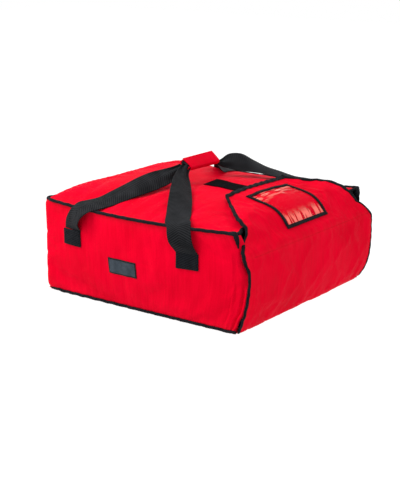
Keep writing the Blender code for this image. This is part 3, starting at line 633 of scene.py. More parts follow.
def black_webbing(name, dark, light, pitch=0.0050, slant=0.55):
    """Woven webbing with slanted ribs across it."""
    n = Nodes(name)
    u, v = n.split()
    slanted = n.math("ADD", v, n.math("MULTIPLY", n.math("ABSOLUTE", u), slant))
    ribs = n.math("SINE", n.math("MULTIPLY", slanted, 2 * pi / pitch))
    threads = n.math("SINE", n.math("MULTIPLY", u, 2 * pi / 0.0016))
    height = n.math("ADD", n.math("MULTIPLY", ribs, 0.6), n.math("MULTIPLY", threads, 0.4))
    shade = n.math("ADD", n.math("MULTIPLY", ribs, 0.26), n.noise(38.0, 4.0))
    colour = n.ramp(shade, ((0.25, dark), (0.78, light)))
    fuzz = n.bump(n.noise(900.0, 2.0), 0.3, 0.0002)
    normal = n.bump(height, 0.75, 0.0004, fuzz)
    return n.finish(colour, normal, Roughness=0.70, Sheen_Weight=0.03, Sheen_Roughness=0.5,
                    Sheen_Tint=(0.4, 0.45, 0.5, 1.0), Specular_IOR_Level=0.07)


def binding_tape(name):
    """Ribbed binding tape."""
    n = Nodes(name)
    u, _ = n.split()
    ribs = n.math("SINE", n.math("MULTIPLY", u, 2 * pi / 0.0019))
    shade = n.math("ADD", n.math("MULTIPLY", ribs, 0.12), n.noise(60.0, 4.0))
    colour = n.ramp(shade, ((0.30, (0.0025, 0.0025, 0.004)), (0.75, (0.009, 0.0095, 0.013))))
    wave = n.bump(n.noise(120.0, 3.0), 0.4, 0.0008)
    normal = n.bump(ribs, 0.6, 0.0003, wave)
    return n.finish(colour, normal, Roughness=0.60, Specular_IOR_Level=0.07)


def pile_tape(name):
    """The fuzz of hook and loop tape."""
    n = Nodes(name)
    cell = n.put("ShaderNodeTexVoronoi", {"Vector": n.coord}, Scale=900.0).outputs["Distance"]
    fuzz = n.noise(600.0, 4.0)
    colour = n.ramp(n.math("ADD", n.math("MULTIPLY", cell, 0.5), n.math("MULTIPLY", fuzz, 0.6)),
                    ((0.25, (0.0004, 0.0003, 0.0006)), (0.85, (0.0022, 0.0014, 0.0024))))
    normal = n.bump(n.math("ADD", cell, fuzz), 0.9, 0.0006)
    return n.finish(colour, normal, Roughness=0.95, Sheen_Weight=0.003, Sheen_Roughness=0.6,
                    Specular_IOR_Level=0.04)


def lining_cloth(name):
    """Dark coated lining with a faint diagonal weave."""
    n = Nodes(name)
    u, v = n.split()
    twill = n.math("SINE", n.math("MULTIPLY", n.math("ADD", u, v), 2 * pi / 0.0014))
    shade = n.math("ADD", n.math("MULTIPLY", twill, 0.08), n.noise(14.0, 5.0))
    colour = n.ramp(shade, ((0.30, (0.020, 0.020, 0.023)), (0.72, (0.062, 0.062, 0.068))))
    soft = n.bump(n.noise(34.0, 5.0), 0.5, 0.004)
    normal = n.bump(twill, 0.4, 0.0002, soft)
    return n.finish(colour, normal, Roughness=0.48, Sheen_Weight=0.1, Sheen_Roughness=0.4,
                    Specular_IOR_Level=0.45)


def patch_cloth(name, width, height):
    """A bare woven patch with a darker sewn border."""
    n = Nodes(name)
    u, v = n.split()
    side = n.math("MINIMUM", u, n.math("SUBTRACT", width, u))
    level = n.math("MINIMUM", v, n.math("SUBTRACT", height, v))
    edge = n.math("MINIMUM", side, level)
    border = n.math("LESS_THAN", edge, 0.0030)
    threads = n.math("SINE", n.math("MULTIPLY", v, 2 * pi / 0.0009))
    shade = n.math("ADD", n.math("MULTIPLY", threads, 0.1), n.noise(90.0, 4.0))
    face = n.ramp(shade, ((0.30, (0.018, 0.026, 0.036)), (0.70, (0.036, 0.050, 0.066))))
    colour = n.mix(border, face, (0.0015, 0.0018, 0.0030))
    normal = n.bump(threads, 0.6, 0.0002, n.bump(border, 0.5, 0.0004))
    return n.finish(colour, normal, Roughness=0.6, Sheen_Weight=0.03, Sheen_Roughness=0.4,
                    Specular_IOR_Level=0.15)


def clear_film(name, height):
    """Soft clear vinyl, with pale streaks of reflected light near its top and its foot."""
    n = Nodes(name)
    _, v = n.split()
    above = n.noise(1.0, 3.0, stretch=(26.0, 95.0, 1.0), source=n.uv)
    below = n.noise(1.0, 2.0, stretch=(95.0, 15.0, 1.0), source=n.uv)
    place = smooth_node(n, v, height * 0.58, height * 0.86)
    high = n.math("MULTIPLY", place, smooth_node(n, above, 0.48, 0.53))
    place = smooth_node(n, v, height * 0.34, height * 0.14)
    low = n.math("MULTIPLY", place, smooth_node(n, below, 0.43, 0.49))
    streak = n.math("MINIMUM", n.math("ADD", high, low), 1.0)
    colour = n.mix(streak, (0.80, 0.01, 0.02), (1.0, 0.19, 0.15))
    alpha = n.math("ADD", n.math("MULTIPLY", streak, 0.85), 0.03)
    n.tree.links.new(alpha, n.shader.inputs["Alpha"])
    wave = n.bump(n.noise(1.0, 3.0, stretch=(40.0, 55.0, 1.0), source=n.uv), 0.6, 0.004)
    return n.finish(colour, wave, Roughness=0.25, Specular_IOR_Level=0.12, Coat_Weight=0.06,
                    Coat_Roughness=0.10)


def smooth_node(n, value, start, end):
    """A node that goes from 0 to 1 as the value goes from start to end."""
    node = n.put("ShaderNodeMapRange", {"Value": value})
    node.interpolation_type = "SMOOTHSTEP"
    node.inputs["From Min"].default_value = min(start, end)
    node.inputs["From Max"].default_value = max(start, end)
    if start > end:
        node.inputs["To Min"].default_value = 1.0
        node.inputs["To Max"].default_value = 0.0
    return node.outputs[0]


def thread(name, colour):
    """Sewing thread."""
    n = Nodes(name)
    lit = tuple(min(c * 1.6 + 0.004, 1.0) for c in colour)
    shade = n.ramp(n.noise(700.0, 2.0), ((0.3, colour), (0.7, lit)))
    twist = n.bump(n.noise(1500.0, 2.0), 0.5, 0.0001)
    return n.finish(shade, twist, Roughness=0.8, Specular_IOR_Level=0.05)


def pale_floor(name):
    """A plain pale studio floor."""
    n = Nodes(name)
    shade = n.ramp(n.noise(2.0, 2.0), ((0.3, (0.11, 0.11, 0.11)), (0.7, (0.12, 0.12, 0.12))))
    return n.finish(shade, Roughness=0.9, Specular_IOR_Level=0.0, Emission_Color=(1.0, 1.0, 1.0, 1.0),
                    Emission_Strength=0.98)


RED = red_cloth("red_cloth_weave")
WEBBING = black_webbing("webbing_rib", (0.0012, 0.0015, 0.0022), (0.0185, 0.0190, 0.0215))
# the strap end tabs take a darker copy of the same webbing, as painted shade
WEBBING_END_SHADED = black_webbing("webbing_end_shaded", (0.002, 0.0025, 0.004), (0.009, 0.010, 0.013))
BINDING = binding_tape("binding_rib")
PILE = pile_tape("tape_pile")
LINING = lining_cloth("lining_twill")
PATCH = patch_cloth("patch_weave", 2 * PATCH_HALF, PATCH_HIGH - PATCH_LOW)
BLACK_THREAD = thread("thread_black", (0.010, 0.010, 0.012))
RED_THREAD = thread("thread_red", (0.40, 0.0004, 0.008))


def piece(name, shape, material, body=None, blend=None, replaces=(), inside=0):
    """Place one form as a piece of the bag.

    The second lot of inside points is the face that the lining covers, and takes its material.
    """
    item = mesh_object(name, *shape)
    item.data.materials.append(material)
    if inside:
        item.data.materials.append(LINING)
        for face in item.data.polygons:
            if min(face.vertices) >= inside and max(face.vertices) < 2 * inside:
                face.material_index = 1
    if blend:
        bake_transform(item)
    else:
        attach(item, body)
    if replaces:
        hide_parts(*replaces)
    return item


# Cloth
def edge_pins(grid):
    """Pins that hold a grid of cloth by its four edges."""
    pins = np.zeros(grid.shape[:2])
    pins[0], pins[-1], pins[:, 0], pins[:, -1] = 1, 1, 1, 1
    return pins


def outward_grid(points, way, uv=None):
    """A grid and its uv, turned so that its normals follow way."""
    if float(np.sum(normals(points) * way)) < 0:
        points = points[:, ::-1]
        uv = None if uv is None else uv[:, ::-1]
    return points, uv


def settle(points, pins, seed, pressure, cap, keep_low=0.35, growth=0.010, frames=18):
    """Let a grid of cloth swell and pucker between its pinned places, and cap how far it moves."""
    scene = bpy.context.scene
    rows, cols = points.shape[:2]
    u = np.arange(cols)[None, :] * 0.008
    v = np.arange(rows)[:, None] * 0.008
    start = points + normals(points) * (0.0011 * patchy(u, v, 0.045, 0.035, seed) * (1 - pins))[..., None]
    flat = start.reshape(-1, 3)
    faces = []
    for r in range(rows - 1):
        for c in range(cols - 1):
            a, b = r * cols + c, r * cols + c + 1
            d, e = a + cols, b + cols
            faces += [(a, d, e), (a, e, b)] if (r + c) % 2 else [(a, d, b), (b, d, e)]
    mesh = bpy.data.meshes.new("settling")
    mesh.from_pydata(flat.tolist(), [], faces)
    item = bpy.data.objects.new("settling", mesh)
    scene.collection.objects.link(item)
    group = item.vertex_groups.new(name="pins")
    for i, weight in enumerate(np.asarray(pins, float).ravel()):
        if weight > 0:
            group.add([i], float(min(weight, 1.0)), "REPLACE")
    cloth = item.modifiers.new("cloth", "CLOTH")
    settings = cloth.settings
    settings.quality = 5
    settings.mass = 0.25
    settings.tension_stiffness = settings.compression_stiffness = 22
    settings.shear_stiffness = 8
    settings.bending_stiffness = 0.9
    settings.tension_damping = settings.compression_damping = 12
    settings.air_damping = 3
    settings.vertex_group_mass = "pins"
    settings.pin_stiffness = 1.0
    settings.shrink_min = -growth
    settings.use_pressure = True
    settings.uniform_pressure_force = pressure
    settings.effector_weights.gravity = 0.0
    cloth.collision_settings.use_collision = False
    cloth.collision_settings.use_self_collision = False
    cloth.point_cache.frame_start = 1
    cloth.point_cache.frame_end = frames
    for number in range(1, frames + 1):
        scene.frame_set(number)
    done = item.evaluated_get(bpy.context.evaluated_depsgraph_get()).to_mesh()
    moved = np.empty(len(done.vertices) * 3)
    done.vertices.foreach_get("co", moved)
    scene.frame_set(1)
    bpy.data.objects.remove(item, do_unlink=True)
    shift = moved.reshape(rows, cols, 3) - points
    shift = shift - (1 - keep_low) * calmed(shift, 24)
    size = np.linalg.norm(shift, axis=-1, keepdims=True)
    capped = shift * np.where(size > 1e-9, cap * np.tanh(size / cap) / np.maximum(size, 1e-9), 1.0)
    return points + capped * (1 - np.asarray(pins))[..., None]


# Walls
# Places of the wall's front edge as it rolls in: inwards and behind the mouth's line, by height
ROLL_KNOTS = (0.0, 0.30, 0.50, 0.62, 0.75, 0.87, 1.0)
ROLL_LEVELS = (0.0, 0.022, 0.050, 0.080, 0.110, 0.150, 0.185, 0.206)
ROLL_IN = np.array([
    (0.0, 0.0, 0.0005, 0.0010, 0.0010, 0.0020, 0.0030),
    (0.0, 0.0005, 0.0020, 0.0055, 0.0015, 0.0040, 0.0100),
    (0.0, 0.0008, 0.0030, 0.0075, 0.0018, 0.0048, 0.0135),
    (0.0, 0.0010, 0.0030, 0.0070, 0.0030, 0.0060, 0.0140),
    (0.0, 0.0015, 0.0040, 0.0062, 0.0085, 0.0112, 0.0160),
    (0.0, 0.0018, 0.0048, 0.0070, 0.0098, 0.0126, 0.0170),
    (0.0, 0.0012, 0.0040, 0.0078, 0.0125, 0.0190, 0.0270),
    (0.0, 0.0003, 0.0015, 0.0040, 0.0090, 0.0150, 0.0230),
])
ROLL_BEHIND = np.array([
    (0.0300, 0.0205, 0.0142, 0.0105, 0.0068, 0.0035, 0.0010),
    (0.0292, 0.0180, 0.0110, 0.0075, 0.0025, -0.0005, -0.0010),
    (0.0290, 0.0165, 0.0085, 0.0040, -0.0020, -0.0055, -0.0062),
    (0.0296, 0.0165, 0.0085, 0.0045, -0.0010, -0.0040, -0.0050),
    (0.0306, 0.0185, 0.0105, 0.0062, 0.0020, -0.0010, -0.0030),
    (0.0304, 0.0215, 0.0168, 0.0146, 0.0126, 0.0114, 0.0104),
    (0.0296, 0.0190, 0.0122, 0.0086, 0.0052, 0.0020, -0.0012),
    (0.0290, 0.0190, 0.0122, 0.0080, 0.0042, 0.0010, -0.0020),
])
ROLL_SHARE = 0.06


def rolled(share, z, table):
    """The roll's table at an array of shares and heights."""
    by_level = np.stack([curve(share, ROLL_KNOTS, row) for row in table], axis=-1)
    z = np.clip(np.broadcast_to(z, by_level.shape[:-1]), 0.0, EDGE_HEIGHT)
    i = np.clip(np.searchsorted(ROLL_LEVELS, z) - 1, 0, len(ROLL_LEVELS) - 2)
    levels = np.array(ROLL_LEVELS)
    t = (z - levels[i]) / (levels[i + 1] - levels[i])
    t = t * t * (3 - 2 * t)
    near = np.take_along_axis(by_level, i[..., None], axis=-1)[..., 0]
    far = np.take_along_axis(by_level, i[..., None] + 1, axis=-1)[..., 0]
    return near * (1 - t) + far * t


def wall_grid():
    """Left, back and right walls as one lofted cloth, from the left mouth edge round to the right."""
    near_mouth = np.linspace(1, 1 - ROLL_SHARE, 17)[:-1]
    alongs = np.concatenate([near_mouth, np.linspace(1 - ROLL_SHARE, 0, SIDE_CELLS - 15)])
    ups = np.linspace(0, 1, RISE_CELLS + 1)[:, None]
    y_top = HALF_DEPTH - BAG_DEPTH * alongs[None, :]
    high = edge_line(y_top) + SEAM_UP
    z = BOTTOM_SEAM + (high - BOTTOM_SEAM) * ups
    near = np.exp(-(z - BOTTOM_SEAM) / 0.004) + np.exp(-(high - z) / 0.004)
    y = HALF_DEPTH * (1 - alongs) + mouth_front(z) * alongs
    share = np.broadcast_to(np.clip((alongs - 1 + ROLL_SHARE) / ROLL_SHARE, 0.0, 1.0), z.shape)
    behind = mouth_front(z) + rolled(share, z, ROLL_BEHIND)
    plain = mouth_front(z) + (HALF_DEPTH - mouth_front(z)) * ROLL_SHARE * (1 - share)
    y = np.where(share > 0, y + (behind - plain) * smooth(0.0, 0.25, share), y)
    reach = side_reach(y, z) + SEAM_OUT * near
    curl = rolled(share, z, ROLL_IN)
    left_x, left_y = rounded(-(reach - curl * (1 - 0.35 * smooth(0.170, 0.190, z))), y)
    left_z = z - 0.0050 * smooth(0.3, 1.0, share) * smooth(0.165, 0.200, z)
    left = np.stack([left_x, left_y, left_z], axis=-1)
    xs = np.linspace(-HALF_WIDTH, HALF_WIDTH, BACK_CELLS + 1)[None, 1:-1]
    z_back = BOTTOM_SEAM + (EDGE_HEIGHT + SEAM_UP - BOTTOM_SEAM) * ups
    near = np.exp(-(z_back - BOTTOM_SEAM) / 0.004) + np.exp(-(EDGE_HEIGHT + SEAM_UP - z_back) / 0.004)
    back_x, back_y = rounded(xs, back_reach(xs, z_back) + SEAM_OUT * near)
    back = np.stack([back_x, back_y, np.broadcast_to(z_back, back_x.shape)], axis=-1)
    right = left[:, ::-1] * (-1, 1, 1)
    right[..., 0] += (0.40 * curl * smooth(0.165, 0.190, z))[:, ::-1]
    right[..., 2] += (0.0050 * smooth(0.3, 1.0, share) * smooth(0.165, 0.200, z))[:, ::-1]
    right[..., 2] += corner_rise(right[..., 0], right[..., 1]) * smooth(0.150, 0.200, right[..., 2])
    return np.concatenate([left, back, right], axis=1)


def wall_places(grid):
    """Distance round the bag and height of each point of the walls' grid."""
    middle = grid[len(grid) // 2]
    around = lengths(middle)[None, :] * np.ones((len(grid), 1))
    return around, grid[..., 2]


def dress_walls(grid):
    """Seams, puckers and soft creases on the walls."""
    around, z = wall_places(grid)
    total = around[0, -1]
    way = normals(grid)
    low = z - BOTTOM_SEAM
    high = grid[-1:, :, 2] - z
    from_mouth = np.minimum(around, total - around)
    step = 0.0013 * ripple(around, 0.016, 11) * np.exp(-low / 0.014) * (1 - np.exp(-low / 0.004))
    step += 0.0009 * ripple(around, 0.019, 23) * np.exp(-high / 0.013) * (1 - np.exp(-high / 0.004))
    step += 0.0008 * ripple(z, 0.017, 31) * np.exp(-from_mouth / 0.016)
    soft = patchy(around, z, 0.075, 0.055, 5) * 0.0024 + patchy(around, z, 0.026, 0.060, 9) * 0.0006
    edge = (1 - np.exp(-low / 0.02)) * (1 - np.exp(-high / 0.02))
    tilted = (around * 0.8 + z * 0.6, z * 0.8 - around * 0.6)
    soft -= 0.0015 * creases(*tilted, 0.085, 0.040, 15) + 0.0010 * creases(around, z, 0.030, 0.075, 29)
    step += soft * edge
    off_corner = np.abs(np.abs(grid[..., 0]) - HALF_WIDTH) + np.abs(grid[..., 1] - HALF_DEPTH)
    corner = hill(off_corner, 0.0, 0.030)
    swell = 0.0042 * smooth(0.0, 0.012, low) * smooth(0.0, 0.010, high)
    step += corner * (swell - 0.0035 * np.exp(-low / 0.006))
    grid = grid + way * step[..., None]
    grid[..., 2] -= 0.0030 * corner * np.exp(-low / 0.010)
    return grid


walls = wall_grid()
pins = edge_pins(walls)
pins[1], pins[-2] = 0.35, 0.35
pins[:, :14] = np.maximum(pins[:, :14], 0.6)
pins[:, -14:] = np.maximum(pins[:, -14:], 0.6)
for corner in (SIDE_CELLS, SIDE_CELLS + BACK_CELLS):
    pins[:, corner] = 0.8
walls = settle(walls, pins, 4, pressure=1.6, cap=0.0035)
walls = dress_walls(doubled(walls))
around, heights = wall_places(walls)
mouth_gap = np.minimum(around, around[0, -1] - around)
seam_gap = np.minimum(heights - BOTTOM_SEAM, walls[-1:, :, 2] - heights)
wall_deep = 0.0018 + 0.0050 * smooth(0, 0.014, seam_gap) * smooth(0.006, 0.048, mouth_gap)
wall_wear = np.exp(-seam_gap / 0.008) * 0.8
wall_uv = np.stack([around, heights], axis=-1)
wall_way = normals(walls)
wall_inner = pad_face(walls, wall_deep, wall_way, np.minimum(mouth_gap / 0.050, seam_gap / 0.016))
shape = quilt(walls, wall_deep, wall_uv, wall_wear, inner=wall_inner)
wall_piece = piece(
    "quilted_walls", shape, RED, "bag", inside=mouth_gap.size,
    replaces=("outer_left", "outer_right", "outer_back", "pad_left", "pad_right", "pad_back"),
)
WALL_SKIN = Skin(walls)


# Top and bottom
def plan_grid(seam_out, front, height_of, reach_height, inset=0.0):
    """A panel across the bag, rows from the back to the front and columns from left to right."""
    alongs = np.linspace(0, 1, SIDE_CELLS)[:, None]
    across = np.linspace(-1, 1, BACK_CELLS + 1)[None, :]
    y = HALF_DEPTH + SEAM_OUT - inset - (HALF_DEPTH + SEAM_OUT - inset - front) * alongs
    x = across * (side_reach(y, reach_height) + seam_out - inset)
    x, y = rounded(x, y)
    return np.stack([x, y, height_of(x, y)], axis=-1)


def top_surface(x, y):
    """Height of the top as it looks, with its swell at the back and its dip under the flap."""
    side = np.maximum(side_reach(y, EDGE_HEIGHT) - np.abs(x), 0.0)
    back = np.maximum(HALF_DEPTH - y, 0.0)
    near = np.exp(-np.minimum(side, back) / 0.005)
    puff = 0.0150 * (1 - np.exp(-back / 0.010)) * np.exp(-((back / 0.080) ** 2))
    puff = puff * (1 - np.exp(-side / 0.024))
    dip = 0.0055 * hill(y, -0.085, 0.085) * hill(x, 0.0, 0.17)
    return top_height(x, y) + 0.0008 + 0.0007 * near + puff - dip + corner_rise(x, y)


top_across = np.abs(np.linspace(-1, 1, BACK_CELLS + 1))[None, :]
TOP_FRONT = MOUTH_RECESS - HALF_DEPTH - 0.006 * smooth(0.35, 0.65, top_across)
TOP_FRONT = TOP_FRONT - 0.0165 * smooth(0.74, 0.97, top_across)
top = plan_grid(SEAM_OUT, TOP_FRONT, top_surface, EDGE_HEIGHT)
pins = edge_pins(top)
pins[1], pins[-2], pins[:, 1], pins[:, -2] = 0.35, 0.6, 0.35, 0.35
top = doubled(settle(top, pins, 12, pressure=1.4, cap=0.0035, keep_low=0.2))
x, y = top[..., 0], top[..., 1]
side_gap = np.maximum(side_reach(y, EDGE_HEIGHT) + SEAM_OUT - np.abs(x), 0.0)
back_gap = np.maximum(HALF_DEPTH + SEAM_OUT - y, 0.0)
front_gap = np.maximum(y - y[-1:], 0.0)
step = 0.0012 * ripple(y, 0.017, 41) * np.exp(-side_gap / 0.014) * (1 - np.exp(-side_gap / 0.004))
step += 0.0012 * ripple(x, 0.018, 47) * np.exp(-back_gap / 0.014) * (1 - np.exp(-back_gap / 0.004))
step += 0.0016 * ripple(x, 0.024, 53) * np.exp(-front_gap / 0.020)
edge = (1 - np.exp(-side_gap / 0.025)) * (1 - np.exp(-back_gap / 0.025))
slant = (x * 0.8 + y * 0.6, -x * 0.6 + y * 0.8)
step += edge * (0.0018 * patchy(*slant, 0.085, 0.040, 61) + 0.0006 * patchy(*slant, 0.035, 0.016, 67))
step -= edge * 0.0014 * creases(*slant, 0.110, 0.032, 69)
top_way = normals(top)
if top_way[len(top) // 2, 0, 2] < 0:
    top_way = -top_way
top = top + top_way * step[..., None]
deep = 0.0022 + 0.0046 * smooth(0, 0.014, np.minimum(side_gap, back_gap)) * smooth(0, 0.014, front_gap)
top_wear = np.exp(-np.minimum(side_gap, back_gap) / 0.008) * 0.8
TOP_SKIN = Skin(top)
flip = (normals(top)[0, 0, 2] < 0) or (normals(top)[len(top) // 2, len(top[0]) // 2, 2] < 0)
turn = (lambda g: g[:, ::-1]) if flip else (lambda g: g)
shape = quilt(turn(top), turn(deep), turn(np.stack([x, y], axis=-1)), turn(top_wear))
top_piece = piece("quilted_top", shape, RED, "bag", inside=x.size,
                  replaces=("outer_top", "pad_top"))


def bottom_surface(x, y):
    """Height of the bottom's cloth, which turns up into its seam."""
    side = np.maximum(side_reach(y, BOTTOM_SEAM) - np.abs(x), 0.0)
    back = np.maximum(HALF_DEPTH - y, 0.0)
    return 0.0005 + 0.0033 * np.exp(-np.minimum(side, back) / 0.0035)


bottom = plan_grid(SEAM_OUT, -HALF_DEPTH, bottom_surface, BOTTOM_SEAM)
x, y = bottom[..., 0], bottom[..., 1]
gap = np.minimum(np.maximum(side_reach(y, BOTTOM_SEAM) - np.abs(x), 0), np.maximum(HALF_DEPTH - y, 0))
under = turn(bottom)[:, ::-1]
deep = 0.0020 + 0.0048 * smooth(0, 0.014, gap)
shape = quilt(under, turn(deep)[:, ::-1], turn(np.stack([x, y], axis=-1))[:, ::-1])
bottom_piece = piece("quilted_bottom", shape, RED, "bag", inside=x.size,
                     replaces=("outer_bottom", "pad_bottom"))


# Lining of the bag
def lining_walls():
    """The lining of the three walls, in front of their pads."""
    around, z = wall_places(walls)
    fold = 0.0012 * patchy(around, z, 0.07, 0.05, 71) + 0.0006 * patchy(around, z, 0.02, 0.05, 73)
    shift = wall_inner - wall_way * (0.0008 + np.maximum(fold, 0.0))[..., None]
    shift[..., 2] = np.clip(walls[..., 2], 0.0082, None)
    roof = top_height(shift[..., 0], shift[..., 1]) - WALL_BUILD - 0.0006
    shift[..., 2] = np.minimum(shift[..., 2], roof)
    return shift, np.stack([around, z], axis=-1)


def lining_plan(height_of, front, reach_height):
    """A lining across the bag and its uv."""
    grid = plan_grid(0.0, front, height_of, reach_height, inset=0.0032)
    return grid, grid[..., :2].copy()


wall_lining, wall_lining_uv = lining_walls()
roof_lining, roof_uv = lining_plan(
    lambda x, y: top_height(x, y) - WALL_BUILD + 0.0004 - 0.0010 * (1 + patchy(x, y, 0.06, 0.05, 79)),
    TOP_FRONT + 0.002, EDGE_HEIGHT,
)
floor_lining, floor_uv = lining_plan(
    lambda x, y: 0.0078 + 0.0006 * (1 + patchy(x, y, 0.07, 0.06, 83)), -HALF_DEPTH + 0.0005, WALL_BUILD
)
parts = []
for grid, uv in (
    (wall_lining, wall_lining_uv), (roof_lining[:, ::-1], roof_uv[:, ::-1]), (floor_lining, floor_uv),
):
    parts.append((grid.reshape(-1, 3), sheet_faces(*grid.shape[:2]), uv.reshape(-1, 2)))
lining_piece = piece(
    "bag_lining", joined(parts), LINING, "bag",
    replaces=("lining_bottom", "lining_left", "lining_right", "lining_back", "lining_top"),
)


# Piping
def piping_path(height_of, side, lift):
    """Middle of the piping from the left mouth corner round the back to the right one."""
    ys = np.linspace(-HALF_DEPTH - 0.003, HALF_DEPTH, 90)
    x = -(side_reach(ys, height_of(ys)) + side)
    left = np.stack([x, ys, height_of(ys) + lift], axis=-1)
    xs = np.linspace(-HALF_WIDTH - side, HALF_WIDTH + side, 80)
    high = float(height_of(HALF_DEPTH)) + lift
    reach = back_reach(np.clip(xs, -HALF_WIDTH, HALF_WIDTH), height_of(HALF_DEPTH)) + side
    back = np.stack([xs, reach, np.full(len(xs), high)], axis=-1)
    radius = CORNER_RADIUS + side
    turns = np.linspace(0, pi / 2, 8)
    centre = np.array([-(HALF_WIDTH - CORNER_RADIUS), HALF_DEPTH - CORNER_RADIUS])
    arc = [centre[0] - radius * np.cos(turns), centre[1] + radius * np.sin(turns), np.full(8, high)]
    arc = np.stack(arc, axis=-1)
    left = left[left[:, 1] < HALF_DEPTH - CORNER_RADIUS - 0.003]
    back = back[np.abs(back[:, 0]) < HALF_WIDTH - CORNER_RADIUS - 0.003]
    path = np.concatenate([left, arc, back, arc[::-1] * (-1, 1, 1), left[::-1] * (-1, 1, 1)])
    return evenly(path, 620)


diagonal = (PIPING_RADIUS + 0.0003) * cos(pi / 4)
top_cord = piping_path(edge_line, diagonal, diagonal)
at_back = smooth(HALF_DEPTH - 0.010, HALF_DEPTH - 0.002, top_cord[:, 1])
top_cord[:, 2] -= 0.0022 * at_back * smooth(0.235, 0.205, np.abs(top_cord[:, 0]))
top_cord[:, 2] += corner_rise(top_cord[:, 0], top_cord[:, 1])
far_side = smooth(-0.225, -0.185, top_cord[:, 1]) * smooth(0.245, 0.225, top_cord[:, 1])
far_side = (top_cord[:, 0] > 0.20) * far_side
top_cord[:, 2] -= 0.0020 * far_side
corner_near = smooth(0.232, 0.254, top_cord[:, 1]) * smooth(0.215, 0.238, np.abs(top_cord[:, 0]))
top_cord[:, :2] *= 1 - 0.012 * corner_near[:, None]
run = lengths(top_cord)
sway = [0.0004 * ripple(run, 0.031, 91), 0 * run, 0.0005 * ripple(run, 0.027, 97)]
top_cord = top_cord + np.stack(sway, axis=-1)
tail = np.array([
    (-0.2350, -0.2575, 0.1790), (-0.2362, -0.2570, 0.1880),
    (-0.2382, -0.2560, 0.1975), (-0.2400, -0.2545, 0.2050),
])
tail = evenly(np.concatenate([tail, top_cord[2:3]]), 14)[:-1]
right_tail = tail[::-1] * (-1, 1, 1) + np.array([-0.0030, 0.0010, 0.0045])
top_cord = np.concatenate([tail, top_cord[2:-2], right_tail])
run = lengths(top_cord)
tail_runs = (0, 0.008, 0.016, 0.026, 0.034, 0.045)
size = np.minimum(np.interp(run, tail_runs, (0.5, 0.95, 1.45, 1.65, 1.45, 1.12)), 2.5)
far_size = np.interp(run[-1] - run, tail_runs, (0.9, 1.5, 2.1, 2.0, 1.4, 1.0))
size = PIPING_RADIUS * np.where(run > run[-1] / 2, far_size, size)
wobble = 1 + 0.05 * ripple(run, 0.011, 101)[:, None] + 0.03 * patchy(run, 0.0, 0.02, 1.0, 103)[:, None]
top_tube = tube(top_cord, size, wobble * np.ones((1, CORD_SIDES)))
piece("piping_top_cord", top_tube, BINDING, "bag", replaces=("piping_top",))
low_path = piping_path(lambda y: np.full(np.shape(y), BOTTOM_SEAM), PIPING_RADIUS + 0.0003, 0.0)
corner_near = smooth(0.205, 0.250, low_path[:, 1]) * smooth(0.19, 0.235, np.abs(low_path[:, 0]))
low_path[:, :2] *= 1 - 0.020 * corner_near[:, None]
run = lengths(low_path)
lift = 0.0007 * (1 + ripple(run, 0.034, 107))
low_path = low_path + np.stack([0.0005 * ripple(run, 0.023, 109), 0 * run, lift], axis=-1)
wobble = 1 + 0.08 * ripple(run, 0.0085, 113)[:, None] * np.ones((1, CORD_SIDES))
piece("piping_bottom_cord", tube(low_path, PIPING_RADIUS, wobble), BINDING, "bag",
      replaces=("piping_bottom",))


# Mouth binding
def edge_lines(points, way, picks, depths):
    """Lines of a panel's edge on its outer and inner faces, for folded_edge."""
    outers = [points[pick] for pick in picks]
    inners = [points[pick] - way[pick] * depth for pick, depth in zip(picks, depths)]
    return outers, inners


for edge_cols, top_row, name in (((0, 2, 4), -13, "left"), ((-1, -3, -5), -2, "right")):
    picks = [(slice(3, top_row), col) for col in edge_cols]
    outers, inners = edge_lines(walls, wall_way, picks, (0.0020, 0.0022, 0.0026))
    shape = folded_edge(outers, inners, thickness=0.0008, sway=0.0002)
    piece("mouth_tape_" + name, shape, BINDING, "bag", replaces=("mouth_binding_" + name,))
edge_rows = [top[-1, 2:-2], (top[-1, 2:-2] + top[-2, 2:-2]) / 2, top[-2, 2:-2]]
under_rows = [row - top_way[-1, 2:-2] * depth for row, depth in zip(edge_rows, (0.0024, 0.0027, 0.0030))]
piece("mouth_tape_top", folded_edge(edge_rows, under_rows, thickness=0.0009, sway=0.0003),
      BINDING, "bag", replaces=("mouth_binding_top",))


# Flap
def flap_line():
    """Middle line of the whole flap as y and z, from under its foot to its tip."""
    t = np.linspace(0.075, 1.0, 40)
    reach = FOOT_REACH + (CREASE_REACH - FOOT_REACH) * curve(t, FRONT_HEIGHTS, FRONT_REACHES)
    front = np.stack([-HALF_DEPTH - reach, t * CREASE_HEIGHT], axis=-1)
    foot = np.array([
        (-0.2500, 0.0012), (-0.2548, 0.0007), (-0.2596, 0.0013), (-0.2634, 0.0038), (-0.2660, 0.0076),
    ])
    run = CREASE_REACH + FLAP_LAP
    rise = CROWN_HEIGHT + FLAP_REST - CREASE_HEIGHT
    knots_y = -HALF_DEPTH - CREASE_REACH + run * np.array(FLAP_RUNS)
    knots = np.stack([knots_y, CREASE_HEIGHT + rise * np.array(FLAP_RISES)], axis=-1)
    shares = lengths(knots) / lengths(knots)[-1]
    upper = curve(np.linspace(0, 1, 80), shares, knots)
    line = np.concatenate([foot, front, upper[1:]])
    return line, lengths(line)[len(foot) + len(front) - 1]


FLAP_LINE, CREASE_RUN = flap_line()
FLAP_RUN = lengths(FLAP_LINE)
FLAP_ROWS = 50
FLAP_COLS = 62
TOP_RUN = FLAP_RUN[-1] - CREASE_RUN


def flap_half(run):
    """Half width of the flap at a length along it."""
    along = np.clip((run - CREASE_RUN) / TOP_RUN, 0.0, 1.0)
    return curve(along, FLAP_ALONG, FLAP_SIDES)


